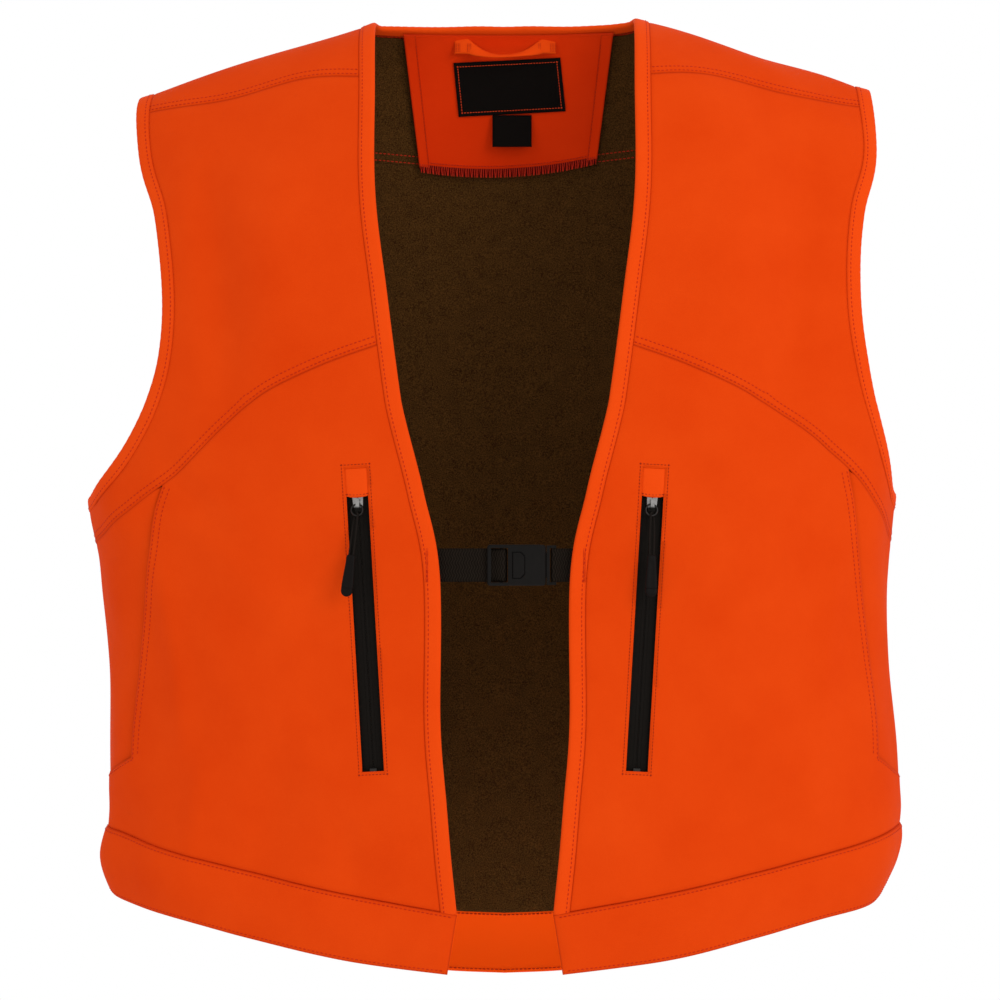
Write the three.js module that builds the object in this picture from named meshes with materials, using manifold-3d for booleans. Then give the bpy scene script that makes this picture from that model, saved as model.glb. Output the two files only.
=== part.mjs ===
// A blaze orange field vest in bonded softshell: an orange face cloth on a brown fleece backing, bound edges,
// a wide open front closed by one webbing strap with a centre-press buckle, two upright zipped chest pockets,
// two slanted hand pockets, shoulder yokes, a hem band, a back neck facing and a hanger loop.
// Millimetres. x runs to the wearer's left, y to the back, z up. The origin lies midway between the neck
// points, at the height where the vest rests on the shoulders.
import * as THREE from "three";
import { mergeVertices } from "three/addons/utils/BufferGeometryUtils.js";
import Module from "manifold-3d";

const wasm = await Module();
wasm.setup();

// ---- Driving dimensions ---------------------------------------------------------------------------------

// The form the cloth hangs on. Each table runs [height, size].
const HALF_WIDTH = [
  [-780, 303], [-700, 307], [-632, 312], [-570, 312], [-500, 308], [-420, 312], [-371, 319], [60, 319],
];
const HALF_DEPTH = [[-780, 108], [-585, 105], [-371, 110], [-300, 112], [60, 112]];
const MIDDLE = [[-780, 0], [-300, 0], [0, 12], [60, 12]];
const SECTION_POWER = 2.3; // how boxy the form is round the chest
const ARCH_POWER = 2.2; // and from the chest up over the shoulder
const CHEST = -300; // height where the form starts to lean in to the shoulder ridge
const RIDGE = 30; // lengthwise place of the shoulder ridge; the chest is at CHEST, the back runs on past it
const NECK_HALF = 100;
const NECK_HEIGHT = 7;
const SHOULDER_SLOPE = 0.32;
const RIDGE_ROUNDING = 40;
const GIRTH_SCALE = 300; // millimetres of girth for each radian round the form
const SIDE = (GIRTH_SCALE * Math.PI) / 2; // girth of the side seam

// Cloth.
const FACE = [0.15, 1.3]; // face cloth, from its inner to its outer side, measured out from the form
const FLEECE = [-1.3, -0.15];
const SEAM_GAP = 0.4;
const BINDING = 12; // width of a bound edge at the opening
const ARM_BINDING = 11;
const BINDING_THICK = [-2.3, 2.3];
const BAND = [0.3, 2.9];
const BAND_SWELL = 3.5;
const FACING = [-5.2, -3.6];
const LABEL = [-6.6, -5.8];
const SIZE_TAB = { middle: 6, half: 16, drop: 26, thick: 0.7 };

// Chest zips.
const ZIP_TOP = { x: 112, z: -371 };
const ZIP_BOTTOM = { x: 100, z: -582 };
const ZIP_WINDOW = 18;
const GARAGE = 21; // height of the cloth flap above the slider
const TAPE_WIDE = 12.5;
const TAPE = [2.6, 3.4]; // depth of the tapes behind the form
const COIL = [3.7, 5.2];
const TAPE_GAP = 1.2;
const PULL_PIVOT = -7.5; // height of the pull's pivot, from the top of the zip
const PULL_TILT = { left: -4, right: 9 }; // degrees that each pull lies off the zip, away from the front edge
const PULL_LEAN = 10; // degrees that a hanging pull stands out from the cloth

// Strap and buckle.
const STRAP_HEIGHT = -424.5;
const STRAP_DEPTH = -102.4;
const WEBBING = 25.4;
const WEB_THICK = 1.3;
const STRAP_END = 62; // the straps are sewn in behind the bindings this far from the middle
const BAR = 2.4;
const SOCKET = { from: -13.6, to: 31, tall: 31, thick: 9 };
const SOCKET_BAR = -3;
const INSERT_BAR = 37.6;

const ORANGE = 0xe8420a;
const colours = {
  face: { color: ORANGE, roughness: 0.85 },
  binding: { color: 0xee4a10, roughness: 0.8 },
  fleece: { color: 0x2e1c0b, roughness: 1 },
  black: { color: 0x12100e, roughness: 0.7 },
  plastic: { color: 0x141210, roughness: 0.45 },
  rubber: { color: 0x100e0c, roughness: 0.6 },
  metal: { color: 0x8a8a8c, roughness: 0.35, metalness: 0.9 },
};

// ---- Small maths ----------------------------------------------------------------------------------------

const clamp = THREE.MathUtils.clamp;
const lerp = THREE.MathUtils.lerp;

// A smooth curve through a table's [place, value] rows.
function smooth(table, place) {
  const last = table.length - 1;
  let i = 0;
  while (i < last - 1 && place > table[i + 1][0]) i++;
  const slope = (k) => {
    const before = table[Math.max(k - 1, 0)];
    const after = table[Math.min(k + 1, last)];
    return (after[1] - before[1]) / (after[0] - before[0]);
  };
  const [from, low] = table[i];
  const [to, high] = table[i + 1];
  const span = to - from;
  const t = clamp((place - from) / span, 0, 1);
  const rise = t * t * (3 - 2 * t);
  const bend = t * (1 - t) * span * ((1 - t) * slope(i) - t * slope(i + 1));
  return low + (high - low) * rise + bend;
}

// The point of a unit superellipse at an angle: [0, 1] at 0 and [1, 0] at a right angle.
function superellipse(angle, power) {
  const sine = Math.sin(angle);
  const cosine = Math.cos(angle);
  const size = (Math.abs(sine) ** power + Math.abs(cosine) ** power) ** (1 / power);
  return [sine / size, cosine / size];
}

function superAngle(across, power) {
  const share = clamp(across, -1, 1);
  return Math.atan2(share, (1 - Math.abs(share) ** power) ** (1 / power));
}

// ---- The form -------------------------------------------------------------------------------------------
// A place on it is a Vector2: x is girth, 0 at the middle front and SIDE at the side, and y runs lengthwise,
// up the front as height, over the ridge at RIDGE, and on down the back.

const ridgeHeight = (x) => NECK_HEIGHT - SHOULDER_SLOPE * (Math.hypot(x, RIDGE_ROUNDING) - NECK_HALF);

function formPoint(place) {
  const behind = place.y > RIDGE;
  const climb = behind ? 2 * RIDGE - place.y : place.y;
  const arched = climb > CHEST;
  const bend = arched ? ((climb - CHEST) / (RIDGE - CHEST)) * (Math.PI / 2) : 0;
  const [rise, reach] = superellipse(bend, ARCH_POWER);
  const level = arched ? CHEST * (1 - rise) : climb;
  const [across, out] = superellipse(place.x / GIRTH_SCALE, SECTION_POWER);
  const x = across * smooth(HALF_WIDTH, level);
  const z = arched ? CHEST + rise * (ridgeHeight(x) - CHEST) : climb;
  const depth = out * reach * smooth(HALF_DEPTH, level);
  return new THREE.Vector3(x, smooth(MIDDLE, level) + (behind ? depth : -depth), z);
}

function formSlopes(place) {
  const step = 0.5;
  const slope = (dx, dy) => {
    const after = formPoint(new THREE.Vector2(place.x + dx, place.y + dy));
    const before = formPoint(new THREE.Vector2(place.x - dx, place.y - dy));
    return after.sub(before).divideScalar(2 * step);
  };
  return [slope(step, 0), slope(0, step)];
}

function formNormal(place) {
  const [round, up] = formSlopes(place);
  return round.cross(up).normalize();
}

// The place seen at x, z from the front; onBack gives the one behind it.
function onFront(x, z) {
  const rise = (z - CHEST) / (ridgeHeight(x) - CHEST);
  const arched = z > CHEST;
  const level = arched ? CHEST * (1 - rise) : z;
  const along = arched ? CHEST + ((RIDGE - CHEST) * superAngle(rise, ARCH_POWER)) / (Math.PI / 2) : z;
  const girth = GIRTH_SCALE * superAngle(x / smooth(HALF_WIDTH, level), SECTION_POWER);
  return new THREE.Vector2(girth, along);
}

function onBack(x, z) {
  const place = onFront(x, z);
  return new THREE.Vector2(place.x, 2 * RIDGE - place.y);
}

// ---- Seams: functions of t from 0 to 1 that give a place -------------------------------------------------

function seam(places) {
  const spline = new THREE.SplineCurve(places);
  return (t) => spline.getPointAt(clamp(t, 0, 1));
}

const straight = (from, to) => (t) => from.clone().lerp(to, t);
const part = (curve, from, to) => (t) => curve(lerp(from, to, t));

// Two curves end to end, the first taking a share of t.
function chain(first, second, share) {
  return (t) => (t < share ? first(t / share) : second((t - share) / (1 - share)));
}

// The t at which a curve that climbs steadily passes a lengthwise place.
function passing(curve, along) {
  let low = 0;
  let high = 1;
  const climbs = curve(1).y > curve(0).y;
  for (let i = 0; i < 30; i++) {
    const middle = (low + high) / 2;
    if (curve(middle).y < along === climbs) low = middle;
    else high = middle;
  }
  return (low + high) / 2;
}

// The curve that runs a distance to the left of another, on the form.
function beside(curve, distance) {
  return (t) => {
    const step = 0.002;
    const place = curve(t);
    const ahead = formPoint(curve(Math.min(t + step, 1)));
    const heading = ahead.sub(formPoint(curve(Math.max(t - step, 0)))).normalize();
    const [round, up] = formSlopes(place);
    const normal = round.clone().cross(up).normalize();
    const move = normal.cross(heading).normalize().multiplyScalar(distance);
    const rr = round.dot(round);
    const uu = up.dot(up);
    const ru = round.dot(up);
    const mr = move.dot(round);
    const mu = move.dot(up);
    const scale = rr * uu - ru * ru;
    return new THREE.Vector2(place.x + (mr * uu - mu * ru) / scale, place.y + (mu * rr - mr * ru) / scale);
  };
}

// ---- Cloth ----------------------------------------------------------------------------------------------

// A grid of places between four seams that meet at their ends. lift raises the cloth off the form.
function block(bottom, top, left, right, columns, rows, lift = () => 0) {
  const corners = [bottom(0), bottom(1), top(0), top(1)];
  const places = [];
  const lifts = [];
  for (let r = 0; r <= rows; r++) {
    for (let c = 0; c <= columns; c++) {
      const u = c / columns;
      const v = r / rows;
      const place = new THREE.Vector2()
        .addScaledVector(bottom(u), 1 - v)
        .addScaledVector(top(u), v)
        .addScaledVector(left(v), 1 - u)
        .addScaledVector(right(v), u);
      place.addScaledVector(corners[0], -(1 - u) * (1 - v)).addScaledVector(corners[1], -u * (1 - v));
      place.addScaledVector(corners[2], -(1 - u) * v).addScaledVector(corners[3], -u * v);
      places.push(place);
      lifts.push(lift(u, v));
    }
  }
  return { places, lifts, columns, rows };
}

// A closed cloth solid from blocks, which join where their points meet. Its edges draw in by half a seam gap.
function cloth(blocks, [inner, outer], gap = SEAM_GAP) {
  const points = [];
  const normals = [];
  const lifts = [];
  const quads = [];
  const find = (point) => {
    const known = points.findIndex((p) => p.distanceToSquared(point) < 0.01);
    return known < 0 ? points.push(point) - 1 : known;
  };
  for (const { places, lifts: raised, columns, rows } of blocks) {
    const index = places.map((place, k) => {
      const i = find(formPoint(place));
      normals[i] = formNormal(place);
      lifts[i] = raised[k];
      return i;
    });
    for (let r = 0; r < rows; r++) {
      for (let c = 0; c < columns; c++) {
        const a = r * (columns + 1) + c;
        quads.push([index[a], index[a + 1], index[a + columns + 2], index[a + columns + 1]]);
      }
    }
  }
  const edges = new Map();
  for (const quad of quads) {
    quad.forEach((i, k) => {
      const j = quad[(k + 1) % 4];
      if (!edges.delete(`${j} ${i}`)) edges.set(`${i} ${j}`, [i, j]);
    });
  }
  const inward = points.map(() => new THREE.Vector3());
  for (const [i, j] of edges.values()) {
    const along = points[j].clone().sub(points[i]).normalize();
    inward[i].add(normals[i].clone().cross(along));
    inward[j].add(normals[j].clone().cross(along));
  }
  const drawn = points.map((p, i) => p.clone().addScaledVector(inward[i].normalize(), gap));
  const count = points.length;
  const position = [];
  for (const side of [inner, outer]) {
    drawn.forEach((p, i) => {
      position.push(...p.clone().addScaledVector(normals[i], side + lifts[i]));
    });
  }
  const index = [];
  for (const [a, b, c, d] of quads) {
    index.push(count + a, count + b, count + c, count + a, count + c, count + d, a, c, b, a, d, c);
  }
  for (const [i, j] of edges.values()) {
    index.push(i, j, count + j, i, count + j, count + i);
  }
  const geometry = new THREE.BufferGeometry();
  geometry.setAttribute("position", new THREE.Float32BufferAttribute(position, 3));
  geometry.setIndex(index);
  geometry.computeVertexNormals();
  return geometry;
}

// ---- Solids by boolean ----------------------------------------------------------------------------------

function solid(geometry) {
  const bare = geometry.clone();
  bare.deleteAttribute("normal");
  bare.deleteAttribute("uv");
  const merged = mergeVertices(bare, 1e-3);
  const vertProperties = merged.attributes.position.array;
  const triVerts = new Uint32Array(merged.index.array);
  return new wasm.Manifold(new wasm.Mesh({ numProp: 3, vertProperties, triVerts }));
}

function fromSolid(manifold) {
  const { vertProperties, triVerts } = manifold.getMesh();
  const geometry = new THREE.BufferGeometry();
  geometry.setAttribute("position", new THREE.BufferAttribute(new Float32Array(vertProperties), 3));
  geometry.setIndex(new THREE.BufferAttribute(new Uint32Array(triVerts), 1));
  geometry.computeVertexNormals();
  return geometry;
}

function cut(geometry, ...tools) {
  return fromSolid(tools.reduce((left, tool) => left.subtract(solid(tool)), solid(geometry)));
}
const join = (...pieces) => fromSolid(pieces.map(solid).reduce((whole, piece) => whole.add(piece)));

// A box between two corners.
function box(low, high) {
  const size = high.map((value, k) => value - low[k]);
  const middle = high.map((value, k) => (value + low[k]) / 2);
  return new THREE.BoxGeometry(...size).translate(...middle);
}

// A flat plate with its outline in x and z, between two depths.
function plate(outline, [front, back], bevel = 0, holes = []) {
  const corners = () => outline.map(([x, z]) => new THREE.Vector2(x, z));
  const shape = outline instanceof THREE.Shape ? outline : new THREE.Shape(corners());
  shape.holes.push(...holes);
  const settings = { depth: back - front - 2 * bevel, steps: 1, curveSegments: 8 };
  const bevels = bevel ? { bevelThickness: bevel, bevelSize: bevel, bevelOffset: -bevel, bevelSegments: 1 } : {};
  const geometry = new THREE.ExtrudeGeometry(shape, { ...settings, bevelEnabled: bevel > 0, ...bevels });
  return geometry.rotateX(Math.PI / 2).translate(0, back - bevel, 0);
}

function roundedRectangle(left, right, bottom, top, radius) {
  const shape = new THREE.Shape();
  shape.moveTo(left + radius, bottom).lineTo(right - radius, bottom);
  shape.absarc(right - radius, bottom + radius, radius, -Math.PI / 2, 0);
  shape.absarc(right - radius, top - radius, radius, 0, Math.PI / 2);
  shape.absarc(left + radius, top - radius, radius, Math.PI / 2, Math.PI);
  shape.absarc(left + radius, bottom + radius, radius, Math.PI, 1.5 * Math.PI);
  return shape;
}

// A round wire or cord along a closed or open path.
function wire(path, radius, steps, sides = 8) {
  const section = new THREE.Shape().absarc(0, 0, radius, 0, 2 * Math.PI);
  return new THREE.ExtrudeGeometry(section, { extrudePath: path, steps, curveSegments: sides, bevelEnabled: false });
}

// ---- The vest's seams, on the wearer's left -------------------------------------------------------------

const sidePlace = (along) => new THREE.Vector2(SIDE, along);
const ridgePlace = (x) => onFront(x, ridgeHeight(x));
const across = (curve) => (t) => new THREE.Vector2(0, curve(t).x);

// The top of the hem band at a distance across; fall is how much lower it is in the middle.
function bandTop(x, fall) {
  const out = Math.min(Math.abs(x) / HALF_WIDTH[2][1], 1);
  return -629 - fall * (1 - out) ** 0.85;
}
const FRONT_FALL = 70;
const bandStations = [118, 194, 252, 298];
const frontBandTop = seam([
  onFront(36.5, -690),
  ...bandStations.map((x) => onFront(x, bandTop(x, FRONT_FALL))),
  sidePlace(-629.5),
]);
const frontBandBottom = seam([
  onFront(43.7, -735),
  ...bandStations.map((x) => onFront(x, bandTop(x, FRONT_FALL) - 50)),
  sidePlace(-681),
]);

const BACK_FALL = 106;
const BACK_ROUNDING = 70;
const backStations = [0, 60, ...bandStations];
const backFall = (x) => bandTop(Math.hypot(x, BACK_ROUNDING * (1 - x / bandStations[3])), BACK_FALL);
const backBandTop = seam([...backStations.map((x) => onBack(x, backFall(x))), sidePlace(2 * RIDGE + 629.5)]);
const backBandBottom = seam([
  ...backStations.map((x) => onBack(x, backFall(x) - 50)),
  sidePlace(2 * RIDGE + 681),
]);

// The edge of the opening, from the hem band up the front, over the shoulder and round to the middle back.
const openingEdge = seam([
  frontBandTop(0), onFront(44, -610), onFront(49, -540), onFront(49.5, -430), onFront(62, -367),
  onFront(77, -307), onFront(90, -215), onFront(99, -140), onFront(100.5, -60), ridgePlace(101),
  onBack(88, 4.5), onBack(50, 5.5), onBack(0, 6),
]);
const bandFoot = passing(across(frontBandTop), openingEdge(0).x + BINDING);
const bindingLine = seam([
  frontBandTop(bandFoot),
  ...[0.1, 0.2, 0.3, 0.4, 0.5, 0.6, 0.7, 0.75, 0.8, 0.85, 0.9, 0.95].map(beside(openingEdge, -BINDING)),
  onBack(0, 6 - BINDING),
]);

// The armhole edge, from the armpit up the front, over the ridge and down the back to the armpit.
const armholeSide = [
  [317.8, -369], [311.5, -357], [302, -338], [288, -307], [277, -268], [271, -216], [276, -155], [289, -100],
];
const armholeEdge = seam([
  sidePlace(-372),
  ...armholeSide.map(([x, z]) => onFront(x, z)),
  ridgePlace(290),
  ...armholeSide.map(([x, z]) => onBack(x, z)).reverse(),
  sidePlace(2 * RIDGE + 372),
]);
const armholeLine = seam([
  sidePlace(-372 - ARM_BINDING),
  ...[0.06, 0.1, 0.15, 0.2, 0.3, 0.4, 0.5, 0.6, 0.7, 0.8, 0.85, 0.9, 0.94].map(beside(armholeEdge, ARM_BINDING)),
  sidePlace(2 * RIDGE + 372 + ARM_BINDING),
]);

// The chest seam below the front yoke, and the shoulder seam above it.
const chestSeamPoints = [[141, -273], [187, -295], [216, -316], [250, -345], [274, -365], [291, -383], [306, -400]];
const chestStart = passing(bindingLine, onFront(96.4, -257).y);
const chestSeam = seam([
  bindingLine(chestStart),
  ...chestSeamPoints.map(([x, z]) => onFront(x, z)),
  sidePlace(-411),
]);
const shoulderStart = passing(bindingLine, onFront(112, -46).y);
const shoulderEnd = passing(armholeLine, onFront(280, -69).y);
const armTurn = passing(armholeLine, onFront(292, -342).y);
const shoulderSeam = seam([
  bindingLine(shoulderStart), onFront(160, -47), onFront(215, -60), onFront(255, -66), armholeLine(shoulderEnd),
]);

// The back yoke's seam, from the middle back to the armhole. YOKE_SHARE of it lies below the neck opening.
const YOKE_SHARE = 0.4;
const yokeEnd = passing(armholeLine, onBack(280, -96).y);
const yokeSeam = seam([
  onBack(0, -104), onBack(70, -101), onBack(140, -95), onBack(210, -92), armholeLine(yokeEnd),
]);
const neckPoint = passing(bindingLine, RIDGE);
const neckEdgePoint = passing(openingEdge, RIDGE);

// The hand pocket's mouth, up its slanted edge, and the pocket's floor out to the side seam.
const POCKET_TOP = 0.507; // share of the chest seam at which the mouth meets it
const pocketCorner = onFront(290, -575);
const pocketMouth = seam([pocketCorner, onFront(286, -520), onFront(274, -418), chestSeam(POCKET_TOP)]);
const pocketFloor = seam([pocketCorner, onFront(305, -586), sidePlace(-592)]);
const pocketHeight = passing(bindingLine, pocketCorner.y);
const pocketColumn = passing(across(frontBandTop), pocketCorner.x);

// ---- Cloth pieces ---------------------------------------------------------------------------------------

// Both halves of the back: each block and its mirror.
function mirrored({ places, lifts, columns, rows }) {
  const turned = (list) => {
    const result = [];
    for (let r = 0; r <= rows; r++) {
      result.push(...list.slice(r * (columns + 1), (r + 1) * (columns + 1)).reverse());
    }
    return result;
  };
  return { places: turned(places.map(({ x, y }) => new THREE.Vector2(-x, y))), lifts: turned(lifts), columns, rows };
}
const whole = (blocks) => [...blocks, ...blocks.map(mirrored)];
const toSide = (curve) => (t) => curve(1 - (1 - t) ** 1.4); // columns that crowd together where the form turns

// A narrow strip between two curves, in lengths of [from, to, rows].
function strip(edge, line, lengths) {
  return lengths.map(([from, to, rows]) => {
    const [left, right] = [part(edge, ...from), part(line, ...to)];
    return block(straight(left(0), right(0)), straight(left(1), right(1)), left, right, 1, rows);
  });
}

// Rows of cloth up the front, between the levels where a seam meets the bound edges.
const ROWS = { foot: 3, panel: 8, turn: 2, yoke: 12, shoulder: 4, overNeck: 5, back: 13, side: 6 };

// The front panel: below the pocket corner, the strip under the pocket floor, and above the corner.
const panelLine = straight(bindingLine(pocketHeight), pocketCorner);
const panelFold = straight(frontBandTop(pocketColumn), pocketCorner);
const frontPanelBlocks = [
  block(part(frontBandTop, bandFoot, pocketColumn), panelLine, part(bindingLine, 0, pocketHeight), panelFold, 7, ROWS.foot),
  block(
    part(frontBandTop, pocketColumn, 1), pocketFloor, panelFold, straight(frontBandTop(1), pocketFloor(1)),
    3, ROWS.foot,
  ),
  block(
    panelLine, part(chestSeam, 0, POCKET_TOP), part(bindingLine, pocketHeight, chestStart), pocketMouth,
    7, ROWS.panel,
  ),
];

// The front yoke, and the narrow end of it below the armhole.
const yokeTurn = straight(chestSeam(POCKET_TOP), armholeLine(armTurn));
const yokeSide = chain(yokeTurn, part(armholeLine, armTurn, shoulderEnd), ROWS.turn / (ROWS.turn + ROWS.yoke));
const frontYokeBlocks = [
  block(
    part(chestSeam, 0, POCKET_TOP), shoulderSeam, part(bindingLine, chestStart, shoulderStart), yokeSide,
    7, ROWS.turn + ROWS.yoke,
  ),
  block(
    part(chestSeam, POCKET_TOP, 1), part(armholeLine, armTurn, 0), yokeTurn, straight(chestSeam(1), armholeLine(0)),
    3, ROWS.turn,
  ),
];

// The side panel runs in under the pocket mouth and comes up flush at the side seam.
const UNDERLAP = 14;
const underTop = POCKET_TOP - 0.045;
const underEdge = seam([...[0, 0.3, 0.6, 0.85].map(beside(pocketMouth, UNDERLAP)), chestSeam(underTop)]);
const sidePanelBlocks = [
  block(
    chain(straight(underEdge(0), pocketCorner), pocketFloor, 0.25),
    chain(part(chestSeam, underTop, POCKET_TOP), part(chestSeam, POCKET_TOP, 1), 0.25),
    underEdge, straight(pocketFloor(1), chestSeam(1)),
    4, 8, (u) => -3.6 * (1 - u) ** 0.5,
  ),
];

// The back yoke: the middle below the neckline, and a strip over each shoulder.
const overNeck = straight(bindingLine(neckPoint), yokeSeam(YOKE_SHARE));
const yokeInner = chain(
  part(bindingLine, shoulderStart, neckPoint),
  overNeck,
  ROWS.shoulder / (ROWS.shoulder + ROWS.overNeck),
);
const backYokeBlocks = whole([
  block(
    part(bindingLine, 1, neckPoint), part(yokeSeam, 0, YOKE_SHARE), straight(bindingLine(1), yokeSeam(0)), overNeck,
    5, ROWS.overNeck,
  ),
  block(
    shoulderSeam, part(yokeSeam, YOKE_SHARE, 1), yokeInner, part(armholeLine, shoulderEnd, yokeEnd),
    7, ROWS.shoulder + ROWS.overNeck,
  ),
]);

const backSide = chain(
  part(armholeLine, yokeEnd, 1),
  straight(armholeLine(1), backBandTop(1)),
  ROWS.back / (ROWS.back + ROWS.side),
);
const backPanelBlocks = whole([
  block(toSide(yokeSeam), toSide(backBandTop), straight(yokeSeam(0), backBandTop(0)), backSide, 7, ROWS.back + ROWS.side),
]);

const swell = (u, v) => BAND_SWELL * Math.sin(Math.PI * v);
const bandShares = [[0, bandFoot, 1], [bandFoot, pocketColumn, 7], [pocketColumn, 1, 3]];
const frontBandBlocks = bandShares.map(([from, to, columns]) => {
  const [bottom, top] = [part(frontBandBottom, from, to), part(frontBandTop, from, to)];
  return block(bottom, top, straight(bottom(0), top(0)), straight(bottom(1), top(1)), columns, 3, swell);
});
const backBandBlocks = whole([
  block(
    toSide(backBandTop), toSide(backBandBottom),
    straight(backBandTop(0), backBandBottom(0)), straight(backBandTop(1), backBandBottom(1)),
    7, 3, swell,
  ),
]);

const edgeAt = (line) => passing(openingEdge, bindingLine(line).y);
const frontBindingBlocks = strip(openingEdge, bindingLine, [
  [[0, edgeAt(pocketHeight)], [0, pocketHeight], ROWS.foot],
  [[edgeAt(pocketHeight), edgeAt(chestStart)], [pocketHeight, chestStart], ROWS.panel],
  [[edgeAt(chestStart), edgeAt(shoulderStart)], [chestStart, shoulderStart], ROWS.turn + ROWS.yoke],
  [[edgeAt(shoulderStart), neckEdgePoint], [shoulderStart, neckPoint], ROWS.shoulder],
]);
const neckBindingBlocks = whole(strip(openingEdge, bindingLine, [[[neckEdgePoint, 1], [neckPoint, 1], 5]]));
const holeAt = (line) => passing(armholeEdge, armholeLine(line).y);
const armholeBindingBlocks = strip(armholeLine, armholeEdge, [
  [[0, armTurn], [0, holeAt(armTurn)], 3],
  [[armTurn, shoulderEnd], [holeAt(armTurn), holeAt(shoulderEnd)], ROWS.yoke],
  [[shoulderEnd, yokeEnd], [holeAt(shoulderEnd), holeAt(yokeEnd)], ROWS.shoulder + ROWS.overNeck],
  [[yokeEnd, 1], [holeAt(yokeEnd), 1], ROWS.back],
]);

// A patch between two heights, with its half widths at the top and bottom, about a distance across.
function patch(onto, middle, [topHalf, top], [bottomHalf, bottom], columns, rows, sag = 0) {
  const edge = (half, height, drop) => (t) => {
    const share = 2 * t - 1;
    return onto(middle + half * share, height - drop * (1 - share * share));
  };
  const [low, high] = onto === onBack ? [edge(topHalf, top, 0), edge(bottomHalf, bottom, sag)]
    : [edge(bottomHalf, bottom, sag), edge(topHalf, top, 0)];
  return [block(low, high, straight(low(0), high(0)), straight(low(1), high(1)), columns, rows)];
}
const facingBlocks = patch(onBack, 3, [85, -2], [73, -99], 8, 5, 9);
const labelBlocks = patch(onBack, 4, [44.5, -15], [44.5, -59], 4, 2);
const chestBagBlocks = patch(onFront, 124, [44, -368], [44, -622], 3, 7);
const handBagBlocks = patch(onFront, 233, [51, -388], [51, -622], 4, 6);
const BAG = [-8.8, -7.2];

// ---- Meshes ---------------------------------------------------------------------------------------------

const vest = new THREE.Group();

function piece(parent, name, geometry, look) {
  const mesh = new THREE.Mesh(geometry, new THREE.MeshStandardMaterial(colours[look]));
  mesh.name = name;
  parent.add(mesh);
  return mesh;
}

// ---- Zips -----------------------------------------------------------------------------------------------
// A zip group's own axes: x outwards from the front edge, y into the body, z up, with its origin at the top.

const zipTop = formPoint(onFront(ZIP_TOP.x, ZIP_TOP.z));
const zipBottom = formPoint(onFront(ZIP_BOTTOM.x, ZIP_BOTTOM.z));
const zipLength = zipTop.distanceTo(zipBottom);
const zipUp = zipTop.clone().sub(zipBottom).normalize();
const zipOut = formNormal(onFront((ZIP_TOP.x + ZIP_BOTTOM.x) / 2, (ZIP_TOP.z + ZIP_BOTTOM.z) / 2));
const zipAcross = zipUp.clone().cross(zipOut).normalize();
const zipIn = zipUp.clone().cross(zipAcross);
const zipFrame = new THREE.Matrix4().makeBasis(zipAcross, zipIn, zipUp).setPosition(zipTop);

const zipSlot = box([-ZIP_WINDOW / 2, -15, -zipLength], [ZIP_WINDOW / 2, 15, GARAGE]).applyMatrix4(zipFrame);

function tape(sign) {
  const edges = [(sign * TAPE_GAP) / 2, sign * (TAPE_GAP / 2 + TAPE_WIDE)].sort((a, b) => a - b);
  return box([edges[0], TAPE[0], -zipLength - 6], [edges[1], TAPE[1], 8]);
}

function coil(sign) {
  const edges = [(sign * TAPE_GAP) / 2, sign * (TAPE_GAP / 2 + 2.4)].sort((a, b) => a - b);
  return box([edges[0], COIL[0], -zipLength + 3], [edges[1], COIL[1], -1]);
}

function slider() {
  const crown = [
    [-4.4, -1], [-1.6, -1], [0, -2.4], [1.6, -1], [4.4, -1], [3.9, -8], [2.8, -13], [-2.8, -13], [-3.9, -8],
  ];
  const front = plate(crown, [0.3, 1.6], 0.3);
  const rear = plate(crown, [5.5, 6.6], 0.3);
  const post = box([-0.35, 1, -6], [0.35, 6, -3.4]);
  const bridge = box([-1.4, -3.4, -11], [1.4, 0.6, -3.4]);
  const eye = box([-2, -2.4, PULL_PIVOT - 1.3], [2, -0.1, PULL_PIVOT + 1.3]);
  return cut(join(front, rear, post, bridge), eye);
}

// The pull's ring hangs from the slider's bridge; its cord passes the ring and runs into the moulded tab.
const RING = { radius: 4.4, wire: 0.65 };
const CORD = 0.8;
const TAB = { top: -40, length: 31, wide: 8.8, thick: 3.6 };

function pullRing() {
  const ring = new THREE.TorusGeometry(RING.radius, RING.wire, 6, 20).rotateX(Math.PI / 2);
  return ring.translate(0, 0, -RING.radius);
}

function pullCord() {
  const nose = -2 * RING.radius;
  const loop = [
    [-1.5, -1.2, TAB.top], [-1.5, -1.4, -22], [-1.2, -1.9, nose - 1.5], [-0.9, -1.3, nose + 1.7], [0, 0.4, nose + 2.4],
    [0.9, 1.9, nose + 0.4], [1.4, 1, nose - 2.7], [1.5, -0.6, -20], [1.5, -1.2, TAB.top],
  ];
  const path = new THREE.CatmullRomCurve3(loop.map(([x, y, z]) => new THREE.Vector3(x, y, z)));
  return wire(path, CORD, 22, 4);
}

function pullTab() {
  const half = TAB.wide / 2;
  const low = TAB.top - TAB.length + half;
  const shape = new THREE.Shape();
  shape.moveTo(-half * 0.8, TAB.top - 0.3).lineTo(-half, low).absarc(0, low, half, Math.PI, 2 * Math.PI);
  shape.lineTo(half * 0.8, TAB.top - 0.3);
  return plate(shape, [-1.2 - TAB.thick / 2, -1.2 + TAB.thick / 2], 0.9);
}

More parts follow.
